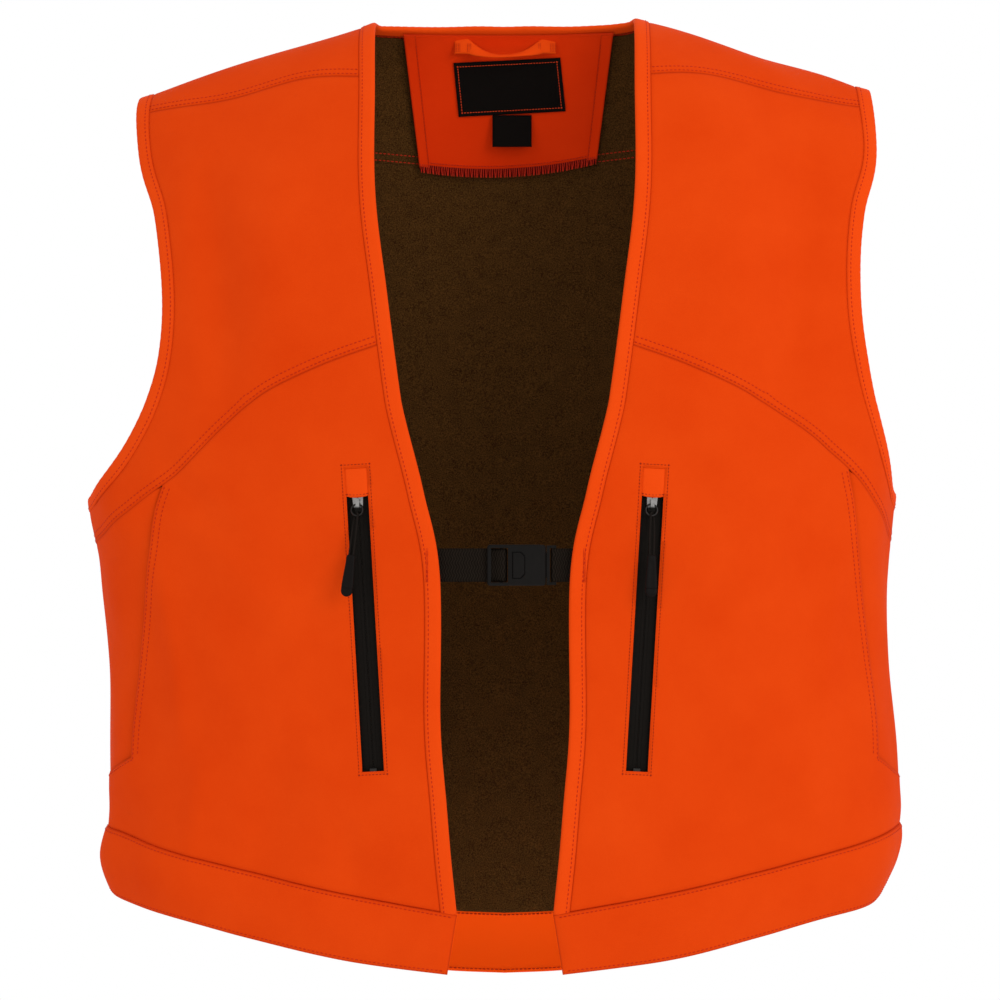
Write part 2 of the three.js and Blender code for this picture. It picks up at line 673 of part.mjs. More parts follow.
function addZip(group, side) {
  const name = (what) => `${side}_zip_${what}`;
  piece(group, name("inner_tape"), tape(-1), "black");
  piece(group, name("outer_tape"), tape(1), "black");
  piece(group, name("inner_coil"), coil(-1), "plastic");
  piece(group, name("outer_coil"), coil(1), "plastic");
  piece(group, name("bottom_stop"), box([-2.6, -0.6, -zipLength + 0.6], [2.6, 1.5, -zipLength + 3]), "metal");
  const half = ZIP_WINDOW / 2 - 0.6;
  piece(group, name("garage"), box([-half, -0.6, 0.4], [half, 1.2, GARAGE - 0.5]), "face");
  piece(group, name("slider"), slider(), "metal");
  const pull = new THREE.Group();
  pull.position.set(0, -1.25, PULL_PIVOT + 0.3);
  pull.rotation.x = THREE.MathUtils.degToRad(-PULL_LEAN);
  pull.rotation.y = THREE.MathUtils.degToRad(-PULL_TILT[side]);
  piece(pull, `${side}_pull_ring`, pullRing(), "metal");
  piece(pull, `${side}_pull_cord`, pullCord(), "black");
  piece(pull, `${side}_pull_tab`, pullTab(), "rubber");
  group.add(pull);
}

// ---- The two mirrored sides -----------------------------------------------------------------------------

const frontPanel = cut(cloth(frontPanelBlocks, FACE), zipSlot);
const frontPanelFleece = cut(cloth(frontPanelBlocks, FLEECE), zipSlot);

for (const [side, sign] of [["left", 1], ["right", -1]]) {
  const half = new THREE.Group();
  half.scale.x = sign;
  vest.add(half);
  piece(half, `${side}_front_panel`, frontPanel, "face");
  piece(half, `${side}_front_panel_fleece`, frontPanelFleece, "fleece");
  piece(half, `${side}_front_yoke`, cloth(frontYokeBlocks, FACE), "face");
  piece(half, `${side}_front_yoke_fleece`, cloth(frontYokeBlocks, FLEECE), "fleece");
  piece(half, `${side}_side_panel`, cloth(sidePanelBlocks, [-1.3, 1.3]), "face");
  piece(half, `${side}_hem_band`, cloth(frontBandBlocks, BAND), "face");
  piece(half, `${side}_armhole_binding`, cloth(armholeBindingBlocks, BINDING_THICK), "binding");
  piece(half, `${side}_front_binding`, cloth(frontBindingBlocks, BINDING_THICK), "binding");
  piece(half, `${side}_chest_pocket_bag`, cloth(chestBagBlocks, BAG), "fleece");
  piece(half, `${side}_hand_pocket_bag`, cloth(handBagBlocks, BAG), "fleece");
  const zip = new THREE.Group();
  zip.applyMatrix4(zipFrame);
  half.add(zip);
  addZip(zip, side);
}

piece(vest, "back_yoke", cloth(backYokeBlocks, FACE), "face");
piece(vest, "back_yoke_fleece", cloth(backYokeBlocks, FLEECE), "fleece");
piece(vest, "back_panel", cloth(backPanelBlocks, FACE), "face");
piece(vest, "back_panel_fleece", cloth(backPanelBlocks, FLEECE), "fleece");
piece(vest, "back_hem_band", cloth(backBandBlocks, BAND), "face");
piece(vest, "back_neck_binding", cloth(neckBindingBlocks, BINDING_THICK), "binding");
piece(vest, "back_neck_facing", cloth(facingBlocks, FACING), "face");
piece(vest, "neck_label", cloth(labelBlocks, LABEL), "black");

// The size tab hangs from the label's lower edge.
const tabTop = formPoint(onBack(SIZE_TAB.middle, -59)).addScaledVector(formNormal(onBack(0, -59)), LABEL[0]);
const sizeTab = box([-SIZE_TAB.half, -SIZE_TAB.thick, -SIZE_TAB.drop], [SIZE_TAB.half, 0, 0]);
piece(vest, "size_tab", sizeTab, "black").position.copy(tabTop).add(new THREE.Vector3(0, -1.2, -0.2));

// The hanger loop: a strip sewn in at both ends below the neckline, hanging in a flat-bottomed bow.
const LOOP = { top: -8, half: 41, flat: 30, drop: 17, wide: 6.5, thick: 1.6, off: 7.2 };
const loopOutline = [
  [-LOOP.half, 0], [-LOOP.flat, -LOOP.drop], [LOOP.flat, -LOOP.drop], [LOOP.half, 0],
  [LOOP.half - LOOP.wide, 0.6], [LOOP.flat - 4, -LOOP.drop + LOOP.wide],
  [-LOOP.flat + 4, -LOOP.drop + LOOP.wide], [-LOOP.half + LOOP.wide, 0.6],
];
const loop = piece(vest, "hanger_loop", plate(loopOutline, [-LOOP.thick / 2, LOOP.thick / 2]), "binding");
loop.position.copy(formPoint(onBack(0, LOOP.top))).add(new THREE.Vector3(0, FACING[0] - LOOP.off, 0));

// ---- Strap and buckle -----------------------------------------------------------------------------------

const buckle = new THREE.Group();
buckle.position.set(0, STRAP_DEPTH, STRAP_HEIGHT);
vest.add(buckle);

// A doubled strap whose fold goes round a bar. away is the side of the bar it runs off to.
function strapRound(bar, away, end, depths) {
  const inside = BAR / 2 + 0.5;
  const outside = inside + WEB_THICK;
  const shoulder = bar + away * (outside + 2.4);
  const shape = new THREE.Shape();
  shape.moveTo(end, depths[0]).lineTo(shoulder, depths[0]).lineTo(bar, -outside);
  shape.absarc(bar, 0, outside, -Math.PI / 2, Math.PI / 2, away > 0);
  shape.lineTo(shoulder, depths[1]).lineTo(end, depths[1]);
  shape.holes.push(new THREE.Path().absarc(bar, 0, inside, 0, 2 * Math.PI));
  const geometry = new THREE.ExtrudeGeometry(shape, { depth: WEBBING, bevelEnabled: false, curveSegments: 8 });
  return geometry.translate(0, 0, -WEBBING / 2);
}

const tall = SOCKET.tall / 2;
const thick = SOCKET.thick / 2;
const webRoom = WEBBING / 2 + 0.4;
const CAVITY = { from: 4.4, front: -2.5, back: 2.3, half: 10.5 };
const BUTTON = { from: 5.8, to: 14.9, half: 9.8, chamfer: 3.2 };

function dShape(grow) {
  const left = BUTTON.from - grow;
  const right = BUTTON.to + grow;
  const half = BUTTON.half + grow;
  const corner = BUTTON.chamfer;
  return [
    [left, -half], [right - corner, -half], [right, -half + corner],
    [right, half - corner], [right - corner, half], [left, half],
  ];
}

function crossBar(x, half) {
  const bar = new THREE.CylinderGeometry(BAR / 2, BAR / 2, 2 * half, 12);
  return bar.rotateX(Math.PI / 2).translate(x, 0, 0);
}

function socket() {
  const shell = plate(roundedRectangle(SOCKET.from, SOCKET.to, -tall, tall, 2.4), [-thick, thick], 0.8);
  const window = box([SOCKET.from + 3, -10, -webRoom], [2.2, 10, webRoom]);
  const behindBar = box([SOCKET.from - 2, -1.3, -webRoom], [SOCKET.from + 4, 2.3, webRoom]);
  const cavity = box([CAVITY.from, CAVITY.front, -CAVITY.half], [SOCKET.to + 2, CAVITY.back, CAVITY.half]);
  const opening = plate(dShape(0.4), [-thick - 1, CAVITY.front + 0.5]);
  return join(cut(shell, window, behindBar, cavity, opening), crossBar(SOCKET_BAR, tall - 1));
}

function insert() {
  const side = webRoom - 0.15;
  const front = box([SOCKET.to + 0.6, -3.4, -tall + 0.5], [SOCKET.to + 3.1, 3.4, tall - 0.5]);
  const upper = box([SOCKET.to + 0.8, -2.4, side], [INSERT_BAR + 1.4, 2.4, tall - 0.5]);
  const lower = box([SOCKET.to + 0.8, -2.4, -tall + 0.5], [INSERT_BAR + 1.4, 2.4, -side]);
  const tip = CAVITY.from + 4.6;
  const tongue = plate(
    [[tip + 2, -9.6], [SOCKET.to + 1, -9.6], [SOCKET.to + 1, 9.6], [tip + 2, 9.6], [tip, 7], [tip, -7]],
    [-1, 1.4],
  );
  return join(front, upper, lower, crossBar(INSERT_BAR, side + 1), tongue);
}

piece(buckle, "buckle_socket", socket(), "plastic");
piece(buckle, "release_button", plate(dShape(0), [-thick - 0.4, -thick + 1.5], 0.5), "plastic");
piece(buckle, "buckle_insert", insert(), "plastic");
piece(buckle, "right_strap", strapRound(SOCKET_BAR, -1, -STRAP_END, [-0.8, 1.8]), "black");
piece(buckle, "left_strap", strapRound(INSERT_BAR, 1, STRAP_END, [-1.3, 1.3]), "black");

export default vest;
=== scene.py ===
"""The looks of a blaze orange softshell field vest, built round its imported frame.

The cloth is laid on a smooth trunk shape by places in girth and length over it. Length is in millimetres; a unit of
girth is less than one where the trunk is flatter than a circle. Every other length is in millimetres until a mesh
is made. x runs to the wearer's left, y to the back, z up.
"""

import math

import bpy
import numpy as np
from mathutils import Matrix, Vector
from mathutils.kdtree import KDTree


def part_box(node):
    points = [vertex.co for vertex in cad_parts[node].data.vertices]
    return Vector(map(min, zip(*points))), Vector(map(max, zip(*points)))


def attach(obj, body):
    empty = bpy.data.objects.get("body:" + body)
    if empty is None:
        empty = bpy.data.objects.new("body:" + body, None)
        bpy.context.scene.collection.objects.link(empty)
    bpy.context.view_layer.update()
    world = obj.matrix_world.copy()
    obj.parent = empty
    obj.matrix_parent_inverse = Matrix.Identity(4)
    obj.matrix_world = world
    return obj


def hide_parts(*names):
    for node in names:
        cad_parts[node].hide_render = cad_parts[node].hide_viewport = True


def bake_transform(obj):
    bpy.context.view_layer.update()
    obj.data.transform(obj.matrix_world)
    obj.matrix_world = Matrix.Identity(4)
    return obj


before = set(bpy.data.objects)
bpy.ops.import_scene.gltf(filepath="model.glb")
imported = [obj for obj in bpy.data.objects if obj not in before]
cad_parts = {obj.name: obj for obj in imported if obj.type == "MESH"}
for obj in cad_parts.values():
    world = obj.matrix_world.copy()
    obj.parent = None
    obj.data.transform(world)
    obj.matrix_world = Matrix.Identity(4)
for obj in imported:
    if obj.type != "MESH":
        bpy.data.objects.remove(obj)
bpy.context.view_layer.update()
MM = 0.001

# ---- Camera and light ----------------------------------------------------------------------------------

scene = bpy.context.scene
scene.view_settings.view_transform = "Standard"


def add_light(name, place, aim, size, watts, colour=(1, 1, 1)):
    light = bpy.data.objects.new(name, bpy.data.lights.new(name, "AREA"))
    light.data.size, light.data.energy, light.data.color = size, watts, colour
    light.location = place
    light.rotation_euler = (Vector(aim) - Vector(place)).to_track_quat("-Z", "Y").to_euler()
    scene.collection.objects.link(light)


camera = bpy.data.objects.new("camera", bpy.data.cameras.new("camera"))
camera.location = (-0.0038, -2.612, -0.375)
camera.rotation_euler = (math.pi / 2, 0, 0)
camera.data.lens = 118.9
camera.data.sensor_width = 36
scene.collection.objects.link(camera)
scene.camera = camera

world = bpy.data.worlds.new("studio")
world.use_nodes = True
world.node_tree.nodes["Background"].inputs["Color"].default_value = (1, 1, 1, 1)
world.node_tree.nodes["Background"].inputs["Strength"].default_value = 1.0
scene.world = world
add_light("key", (1.9, -2.3, 0.75), (0, 0, -0.4), 1.6, 34)
add_light("fill", (-2.2, -2.2, -0.1), (0, 0, -0.4), 2.0, 4)
add_light("back", (0.3, 2.4, 0.9), (0, 0, -0.3), 2.0, 14)

# ---- The trunk shape -----------------------------------------------------------------------------------

HALF_WIDTH = [
    (-780, 290), (-690, 301), (-650, 309), (-620, 310.5), (-570, 310), (-500, 307), (-420, 311), (-371, 317), (60, 317),
]
HALF_DEPTH = [(-780, 108), (-585, 105), (-371, 110), (-300, 112), (60, 112)]
MIDDLE = [(-780, 0), (-300, 0), (0, 12), (60, 12)]
SECTION_POWER, ARCH_POWER = 2.3, 2.2
CHEST, RIDGE = -300.0, 30.0
GIRTH_SCALE = 300.0
SIDE = GIRTH_SCALE * math.pi / 2


def table(rows, at):
    """A smooth curve through rows of (place, value)."""
    xs, ys = np.array(rows, float).T
    last = len(xs) - 1
    k = np.arange(last + 1)
    after, before = np.minimum(k + 1, last), np.maximum(k - 1, 0)
    slopes = (ys[after] - ys[before]) / (xs[after] - xs[before])
    at = np.asarray(at, float)
    i = np.clip(np.searchsorted(xs, at) - 1, 0, last - 1)
    span = xs[i + 1] - xs[i]
    t = np.clip((at - xs[i]) / span, 0, 1)
    bend = t * (1 - t) * span * ((1 - t) * slopes[i] - t * slopes[i + 1])
    return ys[i] + (ys[i + 1] - ys[i]) * t * t * (3 - 2 * t) + bend


def superellipse(angle, power):
    sine, cosine = np.sin(angle), np.cos(angle)
    size = (np.abs(sine) ** power + np.abs(cosine) ** power) ** (1 / power)
    return sine / size, cosine / size


def super_angle(share, power):
    share = np.clip(share, -1, 1)
    return np.arctan2(share, (1 - np.abs(share) ** power) ** (1 / power))


def ridge_height(x):
    return 7 - 0.32 * (np.hypot(x, 40) - 100)


def form(places):
    """Points of the trunk at places: girth from the middle front, and length up the front and down the back."""
    girth, along = places[..., 0], places[..., 1]
    behind = along > RIDGE
    climb = np.where(behind, 2 * RIDGE - along, along)
    arched = climb > CHEST
    rise, reach = superellipse(np.where(arched, (climb - CHEST) / (RIDGE - CHEST) * math.pi / 2, 0), ARCH_POWER)
    level = np.where(arched, CHEST * (1 - rise), climb)
    across, out = superellipse(girth / GIRTH_SCALE, SECTION_POWER)
    x = across * table(HALF_WIDTH, level)
    z = np.where(arched, CHEST + rise * (ridge_height(x) - CHEST), climb)
    depth = out * reach * table(HALF_DEPTH, level)
    return np.stack([x, table(MIDDLE, level) + np.where(behind, depth, -depth), z], -1)


def slopes(places, step=0.5):
    move = np.array([[step, 0], [0, step]])
    return [(form(places + m) - form(places - m)) / (2 * step) for m in move]


def unit(v):
    return v / np.maximum(np.linalg.norm(v, axis=-1, keepdims=True), 1e-12)


def normal(places):
    return unit(np.cross(*slopes(places)))


def on_front(x, z):
    x, z = np.asarray(x, float), np.asarray(z, float)
    arched = z > CHEST
    rise = np.where(arched, (z - CHEST) / (ridge_height(x) - CHEST), 0)
    level = np.where(arched, CHEST * (1 - rise), z)
    bend = super_angle(rise, ARCH_POWER)
    along = np.where(arched, CHEST + (RIDGE - CHEST) * bend / (math.pi / 2), z)
    return np.stack([GIRTH_SCALE * super_angle(x / table(HALF_WIDTH, level), SECTION_POWER), along], -1)


def on_back(x, z):
    place = on_front(x, z)
    return np.stack([place[..., 0], 2 * RIDGE - place[..., 1]], -1)


# ---- Seams: functions of t from 0 to 1 that give places ------------------------------------------------


def seam(points):
    p = np.array([np.asarray(point, float) for point in points])
    p = np.vstack([p[:1], p, p[-1:]])
    t = np.linspace(0, 1, 60)[:, None]
    pieces = []
    for a, b, c, d in zip(p, p[1:], p[2:], p[3:]):
        v0, v1 = (c - a) / 2, (d - b) / 2
        pieces.append((2 * b - 2 * c + v0 + v1) * t**3 + (-3 * b + 3 * c - 2 * v0 - v1) * t**2 + v0 * t + b)
    dense = np.vstack(pieces)
    length = np.concatenate([[0], np.cumsum(np.linalg.norm(np.diff(dense, axis=0), axis=1))])

    def at(share):
        share = np.clip(np.asarray(share, float), 0, 1) * length[-1]
        return np.stack([np.interp(share, length, dense[:, 0]), np.interp(share, length, dense[:, 1])], -1)

    return at


def straight(start, end):
    return lambda t: start + (end - start) * np.asarray(t, float)[..., None]


def part(curve, start, end):
    return lambda t: curve(start + (end - start) * np.asarray(t, float))


def chain(first, second, share):
    def at(t):
        t = np.asarray(t, float)[..., None]
        low, high = np.minimum(t[..., 0] / share, 1), np.maximum((t[..., 0] - share) / (1 - share), 0)
        return np.where(t < share, first(low), second(high))

    return at


def passing(curve, value, which=1):
    """The t at which a curve passes a lengthwise place, or a girth where which is 0."""
    t = np.linspace(0, 1, 4001)
    got = curve(t)[:, which]
    if got[-1] < got[0]:
        t, got = t[::-1], got[::-1]
    return float(np.interp(value, got, t))


def beside(curve, distance):
    """The curve that runs a distance to the left of another, on the trunk."""

    def at(t):
        t = np.asarray(t, float)
        place = curve(t)
        heading = unit(form(curve(np.minimum(t + 0.002, 1))) - form(curve(np.maximum(t - 0.002, 0))))
        round_, up = slopes(place)
        move = unit(np.cross(unit(np.cross(round_, up)), heading)) * distance
        rr, uu, ru = (np.sum(a * b, -1) for a, b in ((round_, round_), (up, up), (round_, up)))
        mr, mu = np.sum(move * round_, -1), np.sum(move * up, -1)
        scale = rr * uu - ru * ru
        return place + np.stack([(mr * uu - mu * ru) / scale, (mu * rr - mr * ru) / scale], -1)

    return at


def samples(curve, spacing, start=0.0, end=1.0):
    """Places along a curve at an even spacing on the trunk."""
    t = np.linspace(start, end, 600)
    points = form(curve(t))
    length = np.concatenate([[0], np.cumsum(np.linalg.norm(np.diff(points, axis=0), axis=1))])
    count = max(int(round(length[-1] / spacing)), 2)
    return curve(np.interp(np.linspace(0, length[-1], count + 1), length, t))


def side_place(along):
    return np.array([SIDE, along], float)


def near_side(before, along):
    return np.array([SIDE - before, along], float)


def ridge_place(x):
    return on_front(x, ridge_height(x))


def band_top(x, fall):
    out = np.minimum(np.abs(x) / 312, 1)
    return -629 - fall * (1 - out) ** 0.85


ARM_BINDING, BINDING = 11, 12
BAND_STATIONS = [118, 194, 252, 298]
FRONT_FALL, BACK_FALL, BAND_WIDTH = 70, 106, 50
front_band_top = seam(
    [on_front(36.5, -690), *[on_front(x, band_top(x, FRONT_FALL)) for x in BAND_STATIONS], side_place(-629.5)]
)
front_band_bottom = seam(
    [on_front(43.7, -735), *[on_front(x, band_top(x, FRONT_FALL) - BAND_WIDTH) for x in BAND_STATIONS]]
    + [near_side(24, -676), side_place(-674)]
)


def back_fall(x):
    return band_top(np.hypot(x, 70 * (1 - x / BAND_STATIONS[3])), BACK_FALL)


back_stations = [0, 60, *BAND_STATIONS]
back_band_top = seam([*[on_back(x, back_fall(x)) for x in back_stations], side_place(2 * RIDGE + 629.5)])
back_band_bottom = seam(
    [on_back(x, back_fall(x) - BAND_WIDTH) for x in back_stations]
    + [near_side(24, 2 * RIDGE + 676), side_place(2 * RIDGE + 674)]
)

opening_points = [(44, -610), (49, -540), (49.5, -430), (62, -367), (77, -307), (90, -215), (99, -140), (100.5, -60)]
opening_edge = seam(
    [front_band_top(0), *[on_front(x, z) for x, z in opening_points], ridge_place(101)]
    + [on_back(88, 4.5), on_back(50, 5.5), on_back(0, 6)]
)
band_foot = passing(front_band_top, opening_edge(0)[0] + BINDING, 0)
binding_shares = np.linspace(0.04, 0.975, 48)
inner_edge = beside(opening_edge, -BINDING)
binding_line = seam([front_band_top(band_foot), *inner_edge(binding_shares), np.array([0, inner_edge(0.985)[1]])])

armhole_side = [
    (315.5, -369), (309, -357), (299.5, -338), (285.5, -307), (274, -268), (269.5, -216), (275, -155), (289, -100),
]
armhole_edge = seam(
    [side_place(-372), near_side(6, -371.8), *[on_front(x, z) for x, z in armhole_side], ridge_place(290)]
    + [on_back(x, z) for x, z in armhole_side[::-1]]
    + [near_side(6, 2 * RIDGE + 371.8), side_place(2 * RIDGE + 372)]
)
arm_shares = np.linspace(0.055, 0.945, 60)
armhole_line = seam(
    [side_place(-372 - ARM_BINDING), near_side(5, -371.8 - ARM_BINDING), *beside(armhole_edge, ARM_BINDING)(arm_shares)]
    + [near_side(5, 2 * RIDGE + 371.8 + ARM_BINDING), side_place(2 * RIDGE + 372 + ARM_BINDING)]
)

chest_start = passing(binding_line, on_front(96.4, -257)[1])
chest_points = [(141, -273), (187, -295), (216, -316), (250, -345), (274, -365), (291, -383), (306, -400)]
chest_seam = seam([binding_line(chest_start), *[on_front(x, z) for x, z in chest_points], side_place(-411)])
shoulder_start = passing(binding_line, on_front(112, -46)[1])
shoulder_end = passing(armhole_line, on_front(280, -69)[1])
arm_turn = passing(armhole_line, on_front(292, -342)[1])
shoulder_seam = seam(
    [binding_line(shoulder_start), on_front(160, -47), on_front(215, -60), on_front(255, -66)]
    + [armhole_line(shoulder_end)]
)
YOKE_SHARE, POCKET_TOP = 0.4, 0.507
yoke_end = passing(armhole_line, on_back(280, -96)[1])
yoke_points = [(0, -103), (35, -102.6), (70, -101), (140, -95), (210, -92)]
yoke_seam = seam([*[on_back(x, z) for x, z in yoke_points], armhole_line(yoke_end)])
neck_point = passing(binding_line, RIDGE)
neck_edge_point = passing(opening_edge, RIDGE)
pocket_corner = on_front(290, -575)
pocket_mouth = seam([pocket_corner, on_front(286, -520), on_front(274, -418), chest_seam(POCKET_TOP)])
pocket_floor = seam([pocket_corner, on_front(305, -586), side_place(-592)])
pocket_height = passing(binding_line, pocket_corner[1])
pocket_column = passing(front_band_top, pocket_corner[0], 0)

# ---- How the cloth lies off the trunk ------------------------------------------------------------------

# Soft folds: start and end of each on the wearer's left front or back, its width and its height.
FRONT_FOLDS = [
    ((232, -120), (212, -300), 20, -2.6),
    ((176, -110), (176, -250), 26, 1.8),
    ((262, -330), (190, -420), 14, -1.3),
    ((215, -395), (150, -505), 22, 1.4),
    ((262, -420), (246, -560), 16, 1.6),
    ((170, -560), (186, -668), 20, -1.5),
    ((232, -575), (240, -655), 15, 1.2),
    ((86, -585), (74, -680), 10, 1.0),
    ((128, -600), (112, -672), 10, -0.9),
]
BACK_FOLDS = [
    ((230, -130), (200, -330), 24, -2.6),
    ((110, -150), (90, -420), 34, 2.2),
    ((250, -400), (150, -470), 18, -1.6),
    ((270, -430), (190, -540), 18, 1.8),
    ((60, -480), (40, -680), 26, -2.0),
    ((170, -560), (190, -690), 22, 1.8),
]


def fold_height(places, folds, onto, tilt):
    """Long low ridges and hollows, each fading out at its ends; tilt makes the two sides differ."""
    total = np.zeros(places.shape[:-1])
    for (start, end, width, height) in folds:
        a, b = onto(*start), onto(*end)
        d = b - a
        share = ((places - a) @ d) / (d @ d)
        away = np.linalg.norm(places - a - np.clip(share, 0, 1)[..., None] * d, axis=-1)
        total += height * tilt * np.exp(-((away / width) ** 2)) * np.exp(-((np.abs(share - 0.5) / 0.55) ** 4))
    return total


ripples = np.random.default_rng(11)
RIPPLE_WAYS = ripples.uniform(0, 2 * math.pi, 14)
RIPPLE_LENGTHS = ripples.uniform(55, 210, 14)
RIPPLE_PHASES = ripples.uniform(0, 2 * math.pi, 14)
ZIP_TOP, ZIP_BOTTOM = np.array([112.0, -371.0]), np.array([100.0, -582.0])


def soft_step(x, low, high):
    t = np.clip((x - low) / (high - low), 0, 1)
    return t * t * (3 - 2 * t)


def wave(places):
    """How far the cloth stands off the trunk at places: folds and faint ripples, none near the zips."""
    left = np.stack([np.abs(places[..., 0]), places[..., 1]], -1)
    wearer_left = places[..., 0] > 0
    height = fold_height(left, FRONT_FOLDS, on_front, 1.0) * np.where(wearer_left, 1.3, 1.65)
    height = height + fold_height(left, BACK_FOLDS, on_back, 1.0) * np.where(wearer_left, 1.5, 1.2)
    for way, length, phase in zip(RIPPLE_WAYS, RIPPLE_LENGTHS, RIPPLE_PHASES):
        turn = (places[..., 0] * math.cos(way) + places[..., 1] * math.sin(way)) * 2 * math.pi / length + phase
        height = height + 0.0028 * length * np.sin(turn)
    line = on_front(*ZIP_BOTTOM) - on_front(*ZIP_TOP)
    share = np.clip(((left - on_front(*ZIP_TOP)) @ line) / (line @ line), -0.12, 1.03)
    away = np.linalg.norm(left - on_front(*ZIP_TOP) - share[..., None] * line, axis=-1)
    calm = soft_step(away, 14, 50) * soft_step(SIDE - np.abs(places[..., 0]), 0, 60)
    middle = soft_step(np.abs(places[..., 0]), 62, 110) * 0.75 + 0.25
    return height * calm * middle


SWAY = [
    (-780, -5), (-690, -5), (-656, -3.5), (-637, -0.8), (-618, 0.8), (-599, 0), (-561, -1.2), (-524, -3),
    (-486, -5.3), (-448, -7.3), (-420, -7.6), (-371, -8.6), (-330, -5.5), (-300, -2), (-260, 2.5),
    (-200, 5), (-120, 2), (-60, 0), (60, 0),
]
TWIST = 11.0  # girth by which the cloth round the hand pockets is turned to the wearer's left


def lay(places, depth):
    """Points at a depth off the cloth's middle, with its folds and the slight lean of the worn shape."""
    girth, along = places[..., 0], places[..., 1]
    window = soft_step(np.abs(girth), 170, 300) * soft_step(SIDE - np.abs(girth), 0, 110)
    level = soft_step(along, -650, -440) * (1 - soft_step(along, -330, -190))
    places = np.stack([girth + TWIST * window * level, along], -1)
    points = form(places) + normal(places) * (wave(places) + depth)[..., None]
    side, height = np.abs(points[..., 0]), points[..., 2]
    lean = np.clip((side - 135) / 165, 0, 1.1) ** 1.4
    slip = 6.5 * np.sign(points[..., 0]) * np.exp(-(((side - 258) / 60) ** 2) - ((height + 350) / 60) ** 2)
    points[..., 0] += table(SWAY, height) * lean
    points[..., 2] += 0.011 * points[..., 0] * soft_step(height, -200, -40)
    points[..., 2] += slip * (1 - soft_step(np.abs(places[..., 1] - RIDGE), 0, 60) * (places[..., 1] > RIDGE))
    return points


# ---- Meshes --------------------------------------------------------------------------------------------


def new_object(name, points, faces, material, attributes=None, spread=None, smooth=True):
    """A mesh piece from millimetres. spread is a place on the cloth for each point, kept as the piece's UV map."""
    mesh = bpy.data.meshes.new(name)
    mesh.from_pydata((np.asarray(points, float) * MM).tolist(), [], [[int(k) for k in f] for f in faces])
    for key, values in (attributes or {}).items():
        mesh.attributes.new(key, "FLOAT", "POINT").data.foreach_set("value", np.asarray(values, np.float32))
    if spread is not None:
        corner = np.empty(len(mesh.loops), np.int32)
        mesh.loops.foreach_get("vertex_index", corner)
        uv = (np.asarray(spread, float) * MM)[corner]
        mesh.uv_layers.new(name="cut").data.foreach_set("uv", uv.astype(np.float32).ravel())
    mesh.materials.append(material)
    mesh.polygons.foreach_set("use_smooth", [smooth] * len(mesh.polygons))
    mesh.update()
    obj = bpy.data.objects.new(name, mesh)
    scene.collection.objects.link(obj)
    return obj


def settle(obj, body, nodes=()):
    """A finished piece: the body it moves with, and the solids, or its namesake, it stands for."""
    namesake = obj.name.split(".")[0]
    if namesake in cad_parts:
        obj.name = namesake + "_sewn"
        nodes = [namesake]
    if body:
        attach(obj, body)
    if nodes:
        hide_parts(*nodes)
    return obj


def steps(*runs):
    """Shares from 0 to 1 in runs of (lines, end), each with a line close inside its ends, where an edge rolls."""
    marks = [0.0]
    for count, end in runs:
        even = np.concatenate([[0.3 / count], np.arange(1, count) / count, [1 - 0.3 / count, 1]])
        marks += list(marks[-1] + (end - marks[-1]) * even)
    return np.array(marks)


def block(bottom, top, left, right, columns, rows, lift=None):
    """Places over a four-sided patch of cloth between its seams, with how far each is lifted."""
    us = columns if isinstance(columns, np.ndarray) else steps((columns, 1))
    vs = rows if isinstance(rows, np.ndarray) else steps((rows, 1))
    b, t = bottom(us)[None], top(us)[None]
    l, r = left(vs)[:, None], right(vs)[:, None]
    u, v = us[None, :, None], vs[:, None, None]
    corner = (1 - u) * (1 - v) * b[:, :1] + u * (1 - v) * b[:, -1:] + (1 - u) * v * t[:, :1] + u * v * t[:, -1:]
    places = (1 - v) * b + v * t + (1 - u) * l + u * r - corner
    lifts = lift(u, v) * np.ones_like(places[..., :1]) if lift else np.zeros_like(places[..., :1])
    return np.concatenate([places, lifts], -1)


def mirrored(places):
    return (places * np.array([-1, 1, 1]))[:, ::-1]


def whole(blocks):
    return [*blocks, *map(mirrored, blocks)]


def grid_quads(rows, columns):
    index = np.arange(rows * columns).reshape(rows, columns)
    return np.stack([index[:-1, :-1], index[:-1, 1:], index[1:, 1:], index[1:, :-1]], -1).reshape(-1, 4)


def joined(blocks):
    """The places, quads and outside edges of blocks that meet."""
    flat = np.vstack([b.reshape(-1, 3) for b in blocks])
    keys = np.round(form(flat[:, :2]) / 0.05).astype(np.int64)
    _, first, inverse = np.unique(keys, axis=0, return_index=True, return_inverse=True)
    inverse = inverse.reshape(-1)
    quads, base = [], 0
    for b in blocks:
        quads.append(grid_quads(*b.shape[:2]) + base)
        base += b.shape[0] * b.shape[1]
    quads = inverse[np.vstack(quads)]
    edges = np.vstack([quads[:, [k, (k + 1) % 4]] for k in range(4)])
    size = len(first)
    code, back = edges[:, 0] * size + edges[:, 1], edges[:, 1] * size + edges[:, 0]
    return flat[first, :2], flat[first, 2], quads, edges[~np.isin(code, back) & (edges[:, 0] != edges[:, 1])]


def distance_to(points, targets):
    tree = KDTree(len(targets))
    for k, target in enumerate(targets):
        tree.insert(target, k)
    tree.balance()
    return np.array([tree.find(p)[2] for p in points])


def area_of(points, quads):
    a, b, c, d = (points[quads[:, k]] for k in range(4))
    return float(np.sum(np.linalg.norm(np.cross(c - a, d - b), axis=1)) / 2)


def declare_cloth(points, quads):
    """Works out the area of the cloth's outer face in square metres; nothing more is done with it.
    The frame takes no area under 0.3 of the rectangle, so a smaller one is raised.
    """
    area = area_of(points, quads) * MM * MM


